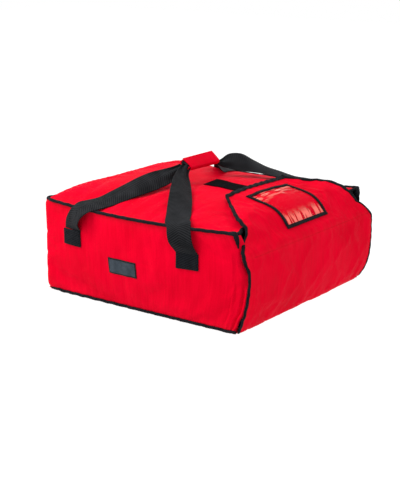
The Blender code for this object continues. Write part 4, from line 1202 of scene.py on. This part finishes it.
def flap_grid():
    """The flap's outer face, rows from its foot to its tip and columns from left to right."""
    runs = np.linspace(0, FLAP_RUN[-1], FLAP_ROWS)
    line = np.stack([np.interp(runs, FLAP_RUN, FLAP_LINE[:, k]) for k in (0, 1)], axis=-1)
    across = np.linspace(-1, 1, FLAP_COLS)[None, :]
    half = flap_half(runs)[:, None]
    x = across * half
    along = np.clip((runs - CREASE_RUN) / TOP_RUN, 0.0, 1.0)[:, None]
    front = np.clip(runs / CREASE_RUN, 0.0, 1.0)[:, None]
    belly = FRONT_BELLY * np.sin(pi * front) * (1 - (x / FLAP_HALF_WIDTH) ** 2)
    y = line[:, :1] - belly
    z = line[:, 1:] - 0.003 * along * (x / FLAP_TIP_HALF) ** 2
    points = np.stack([x, np.broadcast_to(y, x.shape), np.broadcast_to(z, x.shape)], axis=-1)
    return points, runs


flap, flap_runs = flap_grid()
pins = edge_pins(flap)
pins[1:3], pins[:, 1], pins[:, -2], pins[-2] = 0.8, 0.35, 0.35, 0.35
crease_row = int(np.argmin(np.abs(flap_runs - CREASE_RUN)))
pins[crease_row] = np.maximum(pins[crease_row], 0.25)
under_window = (flap_runs[:, None] > FLAP_RUN[-1] - 0.170) & (np.abs(flap[..., 0]) < 0.092)
pins = np.where(under_window, np.maximum(pins, 0.8), pins)
flap = doubled(settle(flap, pins, 21, pressure=1.6, cap=0.0040, keep_low=0.3))
runs = np.linspace(0, FLAP_RUN[-1], len(flap))[:, None]
across = np.linspace(-1, 1, flap.shape[1])[None, :]
half = flap_half(runs)
x = across * half
along = np.clip((runs - CREASE_RUN) / TOP_RUN, 0.0, 1.0)
side_gap = (1 - np.abs(across)) * half
tip_gap = FLAP_RUN[-1] - runs + 0 * across
edge_gap = np.minimum(side_gap, tip_gap)
flap_way = normals(flap)
if flap_way[len(flap) // 3, flap.shape[1] // 2, 1] > 0:
    flap_way = -flap_way
upper_right = (across > 0) * smooth(CREASE_RUN - 0.024, CREASE_RUN + 0.002, runs)
step = -0.0022 * np.exp(-side_gap / 0.007) * (1 - upper_right)
step = step + 0.0030 * np.exp(-side_gap / 0.012) * upper_right
step += 0.0011 * ripple(runs + 0.6 * np.sign(across), 0.021, 127) * np.exp(-side_gap / 0.016)
step += 0.0010 * ripple(x, 0.022, 131) * np.exp(-tip_gap / 0.016)
step -= 0.0010 * hill(runs, CREASE_RUN + 0.004, 0.007)
step += 0.0008 * ripple(x, 0.026, 137) * hill(runs, CREASE_RUN + 0.004, 0.018)
step += 0.0004 * ripple(x, 0.030, 139) * hill(runs, 0.028, 0.022)
body = 1 - np.exp(-edge_gap / 0.022)
step += body * (0.0018 * patchy(x, runs, 0.060, 0.085, 149) + 0.0006 * patchy(x, runs, 0.018, 0.060, 151))
step -= body * 0.0013 * creases(x * 0.8 + runs * 0.6, runs * 0.8 - x * 0.6, 0.045, 0.110, 153)
flap = flap + flap_way * step[..., None]
droop = 0.0045 * hill(np.abs(x), 0.078, 0.040) * hill(along, 0.62, 0.22)
left_droop = 0.0045 * np.exp(-side_gap / 0.016) * smooth(0.30, 0.62, along)
droop += left_droop * smooth(0.004, 0.030, tip_gap) * (across < 0)
droop -= 0.0020 * np.exp(-side_gap / 0.014) * upper_right
droop -= 0.0042 * np.exp(-tip_gap / 0.010)
droop += 0.0036 * smooth(0.45, 0.90, along)
flap[..., 2] -= droop
# the left edge sinks in beside the crease, and its cloth bends round with it
sink_heights = (0.0, 0.06, 0.110, 0.132, 0.139, 0.147, 0.160, 0.175, 0.188, 0.196, 0.204, 0.212)
sink_back = (0.0, 0.0022, 0.0032, 0.0040, 0.0052, 0.0125, 0.0150, 0.0135, 0.0090, 0.0050, 0.0010, 0.0)
sink_left = (0.0, 0.0, 0.0, 0.0, 0.0002, 0.0010, 0.0022, 0.0050, 0.0085, 0.0035, -0.0025, -0.0040)
edge_height = np.clip(flap[:, :1, 2], 0.0, 0.212)
low_corner = hill(runs, 0.010, 0.024) * np.exp(-side_gap / 0.024)
flap[..., 0] += np.where(across > 0, 0.0020, 0.0035) * low_corner
flap[..., 2] += 0.0060 * low_corner * (across > 0)
right_side = np.exp(-side_gap / 0.030) * (across > 0)
flap[..., 1] -= 0.0055 * right_side * hill(runs, 0.065, 0.055)
flap[..., 0] -= 0.0150 * right_side * hill(runs, CREASE_RUN + 0.014, 0.022)
near_left = np.exp(-side_gap / 0.015) * (across < 0) * (runs < CREASE_RUN + 0.075)
flap[..., 1] += np.interp(edge_height, sink_heights, sink_back) * near_left
flap[..., 0] -= np.interp(edge_height, sink_heights, sink_left) * near_left
floor_z = top_surface(flap[..., 0], flap[..., 1]) + 0.0062
lying = smooth(0.45, 0.6, along) * (np.abs(flap[..., 0]) < 0.235)
lowest = np.where(lying > 0, floor_z * lying + flap[..., 2] * (1 - lying), -1.0)
flap[..., 2] = np.maximum(flap[..., 2], lowest)
flap_way = normals(flap)
FLAP_FLIP = flap_way[len(flap) // 3, flap.shape[1] // 2, 1] > 0
if FLAP_FLIP:
    flap_way = -flap_way
deep = 0.0014 + 0.0056 * smooth(0, 0.020, edge_gap) * smooth(0.004, 0.026, runs + 0 * x)
flap_wear = np.maximum(np.exp(-edge_gap / 0.009), 0.6 * hill(runs + 0 * x, CREASE_RUN + 0.004, 0.006)) * 0.8
flap_uv = np.stack([x, runs + 0 * x], axis=-1)
FLAP_BLEND = ("flap_front", "flap_top", (0.0, -0.2755, 0.145), (0.0, -0.2660, 0.178))
facing = (lambda g: g[:, ::-1]) if FLAP_FLIP else (lambda g: g)
flap_inner = pad_face(flap, deep, flap_way, np.minimum(edge_gap / 0.030, (runs + 0 * x) / 0.040))
shape = quilt(facing(flap), facing(deep), facing(flap_uv), facing(flap_wear), inner=facing(flap_inner))
flap_piece = piece("quilted_flap", shape, RED, blend=FLAP_BLEND, inside=deep.size,
                   replaces=("outer_flap_front", "pad_flap_front", "outer_flap_top", "pad_flap_top"))
FLAP_SKIN = Skin(flap)

# the flap's lining, a little behind its pad
first = 6
u, v = (flap_uv[first:-1, 1:-1, k] for k in (0, 1))
lift = 0.0007 + 0.0004 * (1 + patchy(u, v, 0.05, 0.05, 157))
lining = flap_inner[first:-1, 1:-1] - flap_way[first:-1, 1:-1] * lift[..., None]
parts = [(lining.reshape(-1, 3), sheet_faces(*lining.shape[:2]), np.stack([u, v], axis=-1).reshape(-1, 2))]
flap_lining = piece("flap_lining", joined(parts), LINING, blend=FLAP_BLEND,
                    replaces=("lining_flap_front", "lining_flap_top"))

# binding round the flap's free edges, from the left foot over the tip to the right foot
rows, cols = flap.shape[:2]
FLAP_TABLE = np.concatenate([flap, flap_way, deep[..., None]], axis=-1)


def flap_at(row, col):
    """The flap's points, directions and depth between its grid's rows and columns."""
    row, col = np.clip(row, 0, rows - 1.001), np.clip(col, 0, cols - 1.001)
    r, c = row.astype(int), col.astype(int)
    s, t = (row - r)[:, None], (col - c)[:, None]
    near = FLAP_TABLE[r, c] * (1 - t) + FLAP_TABLE[r, c + 1] * t
    far = FLAP_TABLE[r + 1, c] * (1 - t) + FLAP_TABLE[r + 1, c + 1] * t
    return near * (1 - s) + far * s


tape_start = 3
border = [(r, 0) for r in range(tape_start, rows - 1)] + [(rows - 1, c) for c in range(0, cols)]
border = np.array(border + [(r, cols - 1) for r in range(rows - 2, tape_start - 1, -1)], float)
row_step = FLAP_RUN[-1] / (rows - 1)
col_step = 2 * flap_half(border[:, 0] * row_step) / (cols - 1)
lines = []
wide = smooth(CREASE_RUN + 0.040, CREASE_RUN + 0.090, border[:, 0] * row_step)
for share in (0.0, 0.5, 1.0):
    inset = share * (0.0036 + 0.0040 * wide + 0.0012 * (border[:, 1] > 0))
    row = np.minimum(border[:, 0], rows - 1 - inset / row_step)
    col = np.clip(border[:, 1], inset / col_step, cols - 1 - inset / col_step)
    table = flap_at(row, col)
    lines.append((table[:, :3], table[:, :3] - table[:, 3:6] * table[:, 6:]))
outers, inners = zip(*lines)
shape = folded_edge(outers, inners, offset=0.0003, thickness=0.0008, sway=0.0004, seed=163)
piece("flap_tape", shape, BINDING, blend=FLAP_BLEND,
      replaces=("flap_binding_left", "flap_binding_right", "flap_binding_top"))

# cloth and lining that carry the fold at the flap's foot
xs = np.linspace(-0.233, 0.224, 60)


def fold_strip(line, thickness):
    """A strip of cloth across the flap's foot, from its line as y and z."""
    line = evenly(np.asarray(line, float), 12)
    points = np.stack(np.broadcast_arrays(xs[None, :], line[:, :1], line[:, 1:]), axis=-1)
    return quilt(points, thickness)


FOLD_LINE = [(-0.2440, 0.0030), (-0.2520, 0.0026), (-0.2580, 0.0030), (-0.2618, 0.0052), (-0.2640, 0.0090)]
foot = fold_strip(FOLD_LINE, 0.0010)
foot_fold = piece("foot_fold", foot[:3], RED,
                  blend=("bag", "flap_front", (0.0, -0.250 + BAG_Y, 0.003), (0.0, -0.2625 + BAG_Y, 0.007)))
LINING_LINE = [(-0.2440, 0.0090), (-0.2505, 0.0092), (-0.2540, 0.0108), (-0.2562, 0.0150), (-0.2585, 0.0220)]
foot = fold_strip(LINING_LINE, 0.0006)
fold_lining = piece("foot_lining", foot[:3], LINING,
                    blend=("bag", "flap_front", (0.0, -0.250 + BAG_Y, 0.009), (0.0, -0.2562 + BAG_Y, 0.015)))


# Laid pieces
def flap_place(x, run):
    """A place on the unsettled flap and its outward direction, for laying things on it."""
    (before_y, before_z), (y, z), (after_y, after_z) = (
        [np.interp(run + step, FLAP_RUN, FLAP_LINE[:, k]) for k in (0, 1)] for step in (-0.002, 0.0, 0.002)
    )
    ahead_y, ahead_z = after_y - before_y, after_z - before_z
    way = unit(np.stack([0 * ahead_y, -ahead_z, ahead_y], axis=-1))
    return np.stack([x, y, z], axis=-1), way


WINDOW_HALF = 0.078
WINDOW_HIGH = FLAP_RUN[-1] - 0.031
WINDOW_LOW = WINDOW_HIGH - 0.126
FRAME_WIDTH = 0.0080
FILM_INSET = 0.004

us = np.linspace(-WINDOW_HALF + FILM_INSET, WINDOW_HALF - FILM_INSET, 44)[None, :]
vs = np.linspace(WINDOW_LOW + FILM_INSET, WINDOW_HIGH - FILM_INSET, 36)[:, None]
u, v = np.broadcast_arrays(us, vs)
spots, ways = flap_place(u, v)
film, film_way = FLAP_SKIN.lay(spots, ways, 0.0008)
off_side = np.minimum(u + WINDOW_HALF, WINDOW_HALF - u)
off_end = np.minimum(v - WINDOW_LOW, WINDOW_HIGH - v)
inside = smooth(0, 0.02, np.minimum(off_side, off_end) - FILM_INSET)
wave = 0.5 + 0.5 * (0.6 * patchy(u, v, 0.030, 0.016, 167) + 0.4 * patchy(u, v, 0.012, 0.030, 173))
film = film + film_way * (0.0016 * inside * wave)[..., None]
film_uv = np.stack([u + WINDOW_HALF, v - WINDOW_LOW], axis=-1)
FILM = clear_film("film_vinyl", WINDOW_HIGH - WINDOW_LOW)
film, film_uv = outward_grid(film, film_way, film_uv)
shape = quilt(film, 0.0004, film_uv)
film_piece = piece("window_vinyl", shape[:3], FILM, blend=FLAP_BLEND, replaces=("window_film",))


def window_ring():
    """The window's frame: tape round the film, with mitred corners."""
    corners = np.array([(-1, 0), (1, 0), (1, 1), (-1, 1)], float)
    sides = 8
    places = []
    for k in range(4):
        (x0, v0), (x1, v1) = corners[k], corners[(k + 1) % 4]
        for t in np.linspace(0, 1, 30, endpoint=False):
            places.append((x0 + (x1 - x0) * t, v0 + (v1 - v0) * t))
    places = np.array(places)
    rows = []
    for j in range(sides + 1):
        inset = FRAME_WIDTH * j / sides
        x = places[:, 0] * (WINDOW_HALF - inset)
        run = WINDOW_LOW + inset + (WINDOW_HIGH - WINDOW_LOW - 2 * inset) * places[:, 1]
        spots, ways = flap_place(x, run)
        spots, ways = FLAP_SKIN.lay(spots, ways, 0.0)
        crown = 0.0022 + 0.0010 * sin(pi * j / sides)
        rows.append(spots + ways * crown)
    grid = np.array(rows)
    grid = np.concatenate([grid, grid[:, :1]], axis=1)
    run = lengths(grid[sides // 2])
    insets = np.arange(sides + 1) * FRAME_WIDTH / sides
    uv = np.stack(np.broadcast_arrays(run[None, :], insets[:, None]), axis=-1)
    return grid, uv


ring, ring_uv = window_ring()
if normals(ring)[4, 10, 2] < 0:
    ring, ring_uv = ring[::-1], ring_uv[::-1]
shape = quilt(ring, 0.0016, ring_uv, closed=True)
piece("window_tape", shape[:3], BINDING, blend=FLAP_BLEND, replaces=("window_frame",))
for name, line in (("outer", ring[1]), ("inner", ring[-2])):
    way = unit(np.broadcast_to(np.array([0.0, -0.4, 0.9]), line.shape))
    seam = stitches(line, way, lift=0.0002)
    piece("window_stitch_" + name, seam, BLACK_THREAD, blend=FLAP_BLEND)

# stitch line along the crease
xs = np.linspace(-0.222, 0.222, 150)
spots, ways = flap_place(xs, np.full(150, CREASE_RUN + 0.004))
line, ways = FLAP_SKIN.lay(spots, ways, 0.0)
piece("crease_stitch", stitches(line, ways), RED_THREAD, blend=FLAP_BLEND)


LAID_RIPPLE = 0.0003


def laid_patch(skin, xs, ys, point, way, lift, thickness):
    """A form of cloth laid on a surface, and the points of its outer face."""
    u, v = np.broadcast_arrays(xs[None, :], ys[:, None])
    points, ways = skin.lay(point(u, v), way, lift)
    points = points + ways * (LAID_RIPPLE * patchy(u, v, 0.02, 0.02, 181))[..., None]
    points, uv = outward_grid(points, ways, np.stack([u - xs[0], v - ys[0]], axis=-1))
    return quilt(points, thickness, uv), points


STRIP_FRONT = -HALF_DEPTH + FLAP_LAP - 0.031 - 0.008
STRIP_LENGTH = 0.158
shape, _ = laid_patch(
    TOP_SKIN, np.linspace(-HALF_WEBBING, HALF_WEBBING, 14),
    np.linspace(STRIP_FRONT, STRIP_FRONT + STRIP_LENGTH, 40),
    lambda u, v: np.stack([u, v, np.full(u.shape, 0.25)], axis=-1), UP, 0.0017, 0.0015,
)
strip_piece = piece("loop_strip", shape[:3], PILE, "bag", replaces=("top_loop_strip",))

# hook tape under the flap's tip
UNDER_SKIN = Skin(flap_inner - flap_way * 0.0005)
HOOK_LENGTH = 0.045
end = FLAP_RUN[-1] - 0.0092
xs, hook_runs = np.linspace(-HALF_WEBBING, HALF_WEBBING, 12), np.linspace(end - HOOK_LENGTH, end, 14)
u, v = np.broadcast_arrays(xs[None, :], hook_runs[:, None])
spots, ways = flap_place(u, v)
under, under_way = UNDER_SKIN.lay(spots, ways, -0.0012)
under, _ = outward_grid(under, under_way)
hook = piece("flap_hook_strip", quilt(under, 0.0013)[:3], PILE, blend=FLAP_BLEND,
             replaces=("flap_hook_tape",))


def wall_point(sign):
    """A function for places on the left or right wall, by y and z."""
    return lambda u, v: np.stack([sign * side_reach(u, v), u, v], axis=-1)


LEFT = np.array([-1.0, 0.0, 0.0])
shape, _ = laid_patch(
    WALL_SKIN, np.linspace(PATCH_Y - PATCH_HALF, PATCH_Y + PATCH_HALF, 30),
    np.linspace(PATCH_LOW, PATCH_HIGH, 14), wall_point(-1), LEFT, 0.0013, 0.0010,
)
patch_piece = piece("side_patch", shape[:3], PATCH, "bag", replaces=("side_label",))

for side, sign in (("left", -1), ("right", 1)):
    for place, end in (("front", -1), ("back", 1)):
        name = side + "_" + place
        way = np.array([float(sign), 0.0, 0.0])
        ys = np.linspace(TAB_Y[end] - HALF_WEBBING, TAB_Y[end] + HALF_WEBBING, 18)
        zs = np.linspace(TAB_TOP - TAB_HEIGHT, TAB_TOP + 0.001, 14)
        shape, tab = laid_patch(WALL_SKIN, ys, zs, wall_point(sign), way, 0.0036, 0.0034)
        # the tab's darker webbing is painted shade, not a different colour of webbing
        piece("strap_end_" + name, shape[:3], WEBBING_END_SHADED, "bag",
              replaces=("strap_tab_" + name,))
        y0, y1, z0, z1 = ys[0] + 0.004, ys[-1] - 0.004, zs[0] + 0.004, TAB_TOP - 0.004
        box = [(y0, z0), (y1, z0), (y1, z1), (y0, z1), (y0, z0), (y1, z1), (y1, z0), (y0, z1)]
        TAB_SKIN = Skin(tab)
        parts = []
        for (a, b), (c, d) in zip(box, box[1:]):
            t = np.linspace(0, 1, 14)
            spots = wall_point(sign)(a + (c - a) * t, b + (d - b) * t)
            line, ways = TAB_SKIN.lay(spots, way, 0.0)
            parts.append(stitches(line, ways))
        piece("box_stitch_" + name, joined(parts), BLACK_THREAD, "bag")


# Straps
LEG_RUN = (0.13, 0.27, 0.40, 0.55, 0.70, 0.82, 0.92)
LEG_TURN = (1.0, 1.0, 1.0, 1.0, 0.8, 0.5, 0.2)
LEFT_CLIMB = (0.17, 0.30, 0.42, 0.55, 0.66, 0.75, 0.87)
LEFT_FOLD = (0.0, 0.0, 0.0, 0.0, 0.10, 0.35, 0.75)
# Climb, tilt and fold at each share of the leg's run, by side and end
LEG_FORMS = {
    (-1, -1): (LEFT_CLIMB, (0.08, 0.25, 0.50, 0.80, 1.0, 1.0, 1.0), LEFT_FOLD),
    (-1, 1): (LEFT_CLIMB, (0.34, 0.45, 0.60, 0.85, 1.0, 1.0, 1.0), LEFT_FOLD),
    (1, -1): (
        (0.17, 0.30, 0.42, 0.61, 0.77, 0.80, 0.77),
        (0.08, 0.22, 0.36, 0.62, 1.15, 1.15, 0.80),
        (0.0, 0.0, 0.0, 0.0, 0.0, 0.18, 0.80),
    ),
    (1, 1): (
        (0.17, 0.28, 0.38, 0.50, 0.59, 0.68, 0.80),
        (0.34, 0.45, 0.60, 0.85, 1.05, 1.10, 1.10),
        (0.0, 0.0, 0.0, 0.0, 0.05, 0.22, 0.60),
    ),
}
LEG_LEAN = {1: 0.028, -1: 0.017}
EDGE_TURN = {1: (0.80, 1.0, 1.0, 1.0), -1: (0.35, 0.45, 0.70, 1.0)}
EDGE_RISE = {1: (0.10, 0.20, 0.24, 0.24), -1: (0.06, 0.20, 0.22, 0.18)}


def grip_point(along, across, out):
    """Points in the grip's own directions."""
    along, across, out = (np.asarray(value, float)[..., None] for value in (along, across, out))
    return GRIP_MID + along * np.array([1.0, 0.0, 0.0]) + across * GRIP_ACROSS + out * GRIP_OUT


def leg_frames(sign, end):
    """Centres, half widths and folds along a strap leg, close to those of its solid."""
    foot_y = TAB_Y[end]
    lean_y = foot_y - end * LEG_LEAN[end]
    over = 0.0035 * cos(pi / 4) + PIPING_RADIUS + 0.0005 + WEBBING_THICKNESS
    edge = float(edge_line(lean_y))
    reach = float(side_reach(lean_y, edge))
    start_x = float(side_reach(foot_y, TAB_TOP)) + 0.0003 + WEBBING_THICKNESS
    centres = [
        (sign * start_x, foot_y, TAB_TOP + 0.0003),
        (sign * (reach + over + 0.010), foot_y * 0.6 + lean_y * 0.4, TAB_TOP * 0.45 + edge * 0.55),
        (sign * (reach + over + 0.006), foot_y * 0.2 + lean_y * 0.8, edge - 0.003),
        (sign * (reach + over * 0.5), lean_y - end * 0.004, edge + over * 0.85),
        (sign * (reach - 0.004), lean_y - end * (over + 0.3 * LEG_LEAN[end]), edge + over + 0.003),
    ]
    ahead = float(side_reach(foot_y + HALF_WEBBING, TAB_TOP) - side_reach(foot_y - HALF_WEBBING, TAB_TOP))
    wall = unit(np.array([sign * ahead, WEBBING_WIDTH, 0.0])) * HALF_WEBBING
    folds = [0.0] * 5
    level = -end * MIDDLE_GAP / 2
    finish = grip_point(sign * (GRIP_LENGTH / 2 + 0.0003), 0.0, level)
    crest = np.array(centres[-1])
    run = finish - crest
    square = unit(np.array([run[1], -run[0], 0.0]) * sign)
    widths = [wall]
    for turn, rise in zip(EDGE_TURN[end], EDGE_RISE[end]):
        flat = unit(unit(wall) * (1 - turn) + square * turn)
        widths.append(unit(flat + UP * end * rise) * HALF_WEBBING)
    climbs, tilts, leg_folds = LEG_FORMS[sign, end]
    for run_share, climb, turn, tilt, fold in zip(LEG_RUN, climbs, LEG_TURN, tilts, leg_folds):
        centre = crest + run * run_share
        centre[2] = EDGE_HEIGHT + (finish[2] - EDGE_HEIGHT) * climb
        flat = unit(unit(wall) * (1 - turn) + square * turn)
        angle = GRIP_TILT * tilt
        size = HALF_WEBBING * (1 - fold) + CORE_HALF_WIDTH * fold
        centres.append(centre)
        widths.append((flat * cos(angle) + UP * sin(angle)) * size)
        folds.append(fold)
    centres.append(finish - np.array([sign * 0.012, 0.0, 0.0]))
    widths.append(GRIP_ACROSS * CORE_HALF_WIDTH)
    folds.append(1.0)
    return np.array(centres, float), np.array(widths, float), np.array(folds)


def leg_grid(sign, end, seed):
    """The strap's upper face, rows along it and columns across, with its folds near the grip."""
    centres, widths, folds = leg_frames(sign, end)
    run = lengths(centres)
    places = np.linspace(0, run[-1], 84)
    centre = curve(places, run, centres)
    width = curve(places, run, widths)
    fold = np.clip(curve(places, run, folds), 0, 1)
    ahead = unit(np.gradient(centre, axis=0))
    out = unit(np.cross(ahead, width))
    if out[len(out) // 2, 2] < 0:
        out = -out
    across = np.linspace(-1, 1, 25)
    w = across[None, :]
    bend = fold[:, None] * 0.0046 * np.cos(1.5 * pi * w) - fold[:, None] * 0.0006
    cup = -0.0016 * (1 - fold[:, None]) * w**2 * smooth(0.06, 0.14, places)[:, None]
    sway = 0.0010 * patchy(places[:, None], w * HALF_WEBBING, 0.05, 0.03, seed)
    sway = sway * smooth(0.0, 0.03, places)[:, None]
    offset = bend + cup + sway
    grid = centre[:, None] + width[:, None] * w[..., None] + out[:, None] * offset[..., None]
    uv = np.stack(np.broadcast_arrays(w * HALF_WEBBING, places[:, None]), axis=-1)
    return outward_grid(grid, out[:, None], uv)


for side, sign in (("left", -1), ("right", 1)):
    for place, end in (("front", -1), ("back", 1)):
        grid, uv = leg_grid(sign, end, 191 + end + 3 * sign)
        lifted = grid + normals(grid) * WEBBING_THICKNESS / 2
        shape = quilt(lifted, WEBBING_THICKNESS, uv)
        piece("strap_" + side + "_" + place, shape[:3], WEBBING,
              blend=("bag", "grip", (0.0, 0.0, 0.156), (0.0, 0.0, 0.272)),
              replaces=("strap_leg_" + side + "_" + place,))


# Grip
def grip_sheet(outline, half_length, twist):
    """A sheet along the grip from an outline of (across, out) places, with its uv."""
    line = evenly(np.asarray(outline, float), 40)
    xs = np.linspace(-half_length, half_length, 36)
    a = line[None, :, 0] + 0 * xs[:, None]
    o = line[None, :, 1] + 0 * xs[:, None]
    angle = twist * xs[:, None] / half_length
    a, o = a * np.cos(angle) - o * np.sin(angle), a * np.sin(angle) + o * np.cos(angle)
    points = grip_point(xs[:, None] + 0 * a, a, o)
    uv = np.stack([xs[:, None] + 0 * a, lengths(line)[None, :] + 0 * a], axis=-1)
    return outward_grid(points, points - grip_point(points[..., 0] - GRIP_MID[0], 0, 0), uv)


def rounded_outline(corners, radius, steps=5):
    """The outline with its inner corners rounded."""
    corners = np.asarray(corners, float)
    out = [corners[0]]
    for before, here, after in zip(corners[:-2], corners[1:-1], corners[2:]):
        start = here + unit(before - here) * min(radius, np.linalg.norm(before - here) / 2)
        stop = here + unit(after - here) * min(radius, np.linalg.norm(after - here) / 2)
        for t in np.linspace(0, 1, steps):
            out.append(start * (1 - t) ** 2 + 2 * here * t * (1 - t) + stop * t**2)
    out.append(corners[-1])
    return np.array(out)


core_half = 0.0038 + 0.00015
base_out = CORE_HALF_WIDTH + 0.0003 + 0.0032
base_top, base_low = core_half - 0.0005, -core_half - 0.0033
corners = [(-base_out, base_top), (-base_out, base_low), (base_out, base_low), (base_out, base_top)]
points, uv = grip_sheet(rounded_outline(corners, 0.0045), GRIP_LENGTH / 2 - 0.0005, twist=0.04)
base_piece = piece("grip_wrap_base", quilt(points, 0.0026, uv)[:3], RED, "grip",
                   replaces=("wrap_base",))

low = core_half + 0.0003
inner = base_out + 0.0009 + 0.0024
lap = inner + 0.0016
corners = [(base_out, low + 0.0034), (-lap, low + 0.0034), (-lap, low - 0.0062)]
points, uv = grip_sheet(rounded_outline(corners, 0.0042), GRIP_LENGTH / 2 - 0.003, twist=0.05)
cover_root = grip_point(0.0, base_out - 0.0010, low + 0.0020) + np.array([0.0, BAG_Y, 0.0])
cover_bend = grip_point(0.0, base_out - 0.0080, low + 0.0020) + np.array([0.0, BAG_Y, 0.0])
cover_piece = piece("grip_wrap_cover", quilt(points, 0.0028, uv)[:3], RED,
                    blend=("grip", "wrap_cover", tuple(cover_root), tuple(cover_bend)),
                    replaces=("wrap_cover",))

for place, end in (("front", -1), ("back", 1)):
    level = -end * MIDDLE_GAP / 2
    w = np.linspace(-CORE_HALF_WIDTH, CORE_HALF_WIDTH, 13)[None, :]
    xs = np.linspace(-GRIP_LENGTH / 2 + 0.001, GRIP_LENGTH / 2 - 0.001, 30)[:, None]
    o = level + 0.0015 + 0.0004 * np.cos(1.5 * pi * w / CORE_HALF_WIDTH) + 0 * xs
    points, _ = outward_grid(grip_point(xs + 0 * w, w + 0 * xs, o), GRIP_OUT)
    piece("strap_middle_" + place, quilt(points, 0.0032)[:3], WEBBING, "grip",
          replaces=("strap_" + place + "_middle",))

for name, start, body, old in (
    ("grip_loop_tape", base_out + 0.0003, "grip", "wrap_loop_tape"),
    ("grip_hook_tape", base_out + 0.0018, "wrap_cover", "wrap_hook_tape"),
):
    outs = np.linspace(low - 0.0056, core_half - 0.0005, 8)[None, :]
    xs = np.linspace(-GRIP_LENGTH / 2 + 0.002, GRIP_LENGTH / 2 - 0.002, 30)[:, None]
    points = grip_point(xs + 0 * outs, np.full((30, 8), -start - 0.0011), outs + 0 * xs)
    points, _ = outward_grid(points, -GRIP_ACROSS)
    piece(name, quilt(points, 0.0011)[:3], PILE, body, replaces=(old,))


# Studio
def area_light(name, place, target, size, power):
    """A soft square light that faces its target."""
    light = bpy.data.lights.new(name, "AREA")
    light.shape = "RECTANGLE"
    light.size = light.size_y = size
    light.energy = power
    item = bpy.data.objects.new(name, light)
    bpy.context.scene.collection.objects.link(item)
    item.location = place
    item.rotation_euler = (Vector(target) - Vector(place)).to_track_quat("-Z", "Y").to_euler()


FLOOR_HALF = 6
FLOOR_Z = -0.0006
floor_verts = [(x * FLOOR_HALF, y * FLOOR_HALF, FLOOR_Z) for x, y in ((-1, -1), (1, -1), (1, 1), (-1, 1))]
floor = mesh_object("studio_floor", floor_verts, [(0, 1, 2, 3)], np.array(floor_verts)[:, :2])
floor.data.materials.append(pale_floor("studio_pale"))

world = bpy.data.worlds.new("studio")
bpy.context.scene.world = world
world.use_nodes = True
world.node_tree.nodes["Background"].inputs[0].default_value = (1.0, 1.0, 1.0, 1.0)
world.node_tree.nodes["Background"].inputs[1].default_value = 1.0

middle = (0.0, 0.0, 0.12)
area_light("key", (-1.40, 1.55, 2.25), middle, 2.0, 76)
area_light("front", (-1.6, -1.6, 1.3), middle, 1.6, 4)
area_light("overhead", (0.2, 0.4, 2.8), middle, 2.2, 4)

PIXELS_HIGH = 483
FOCAL_PIXELS = 1200
yaw, pitch, distance = radians(-53.3), radians(15.4), 2.725
back = Vector((sin(yaw) * cos(pitch), -cos(yaw) * cos(pitch), sin(pitch)))
right = Vector((-back.y, back.x, 0.0)).normalized()
up = back.cross(right)
if up.z < 0:
    right, up = -right, -up
target = right * -0.009 + up * 0.095 + Vector((0.0, BAG_Y, 0.0))
camera_data = bpy.data.cameras.new("camera")
camera_data.sensor_width = 36.0
camera_data.lens = FOCAL_PIXELS / PIXELS_HIGH * camera_data.sensor_width
camera_data.clip_end = 50.0
camera = bpy.data.objects.new("camera", camera_data)
bpy.context.scene.collection.objects.link(camera)
rotation = Matrix((right, up, back)).transposed().to_4x4()
camera.matrix_world = Matrix.Translation(target + back * distance) @ rotation
bpy.context.scene.camera = camera
bpy.context.scene.view_settings.view_transform = "Standard"
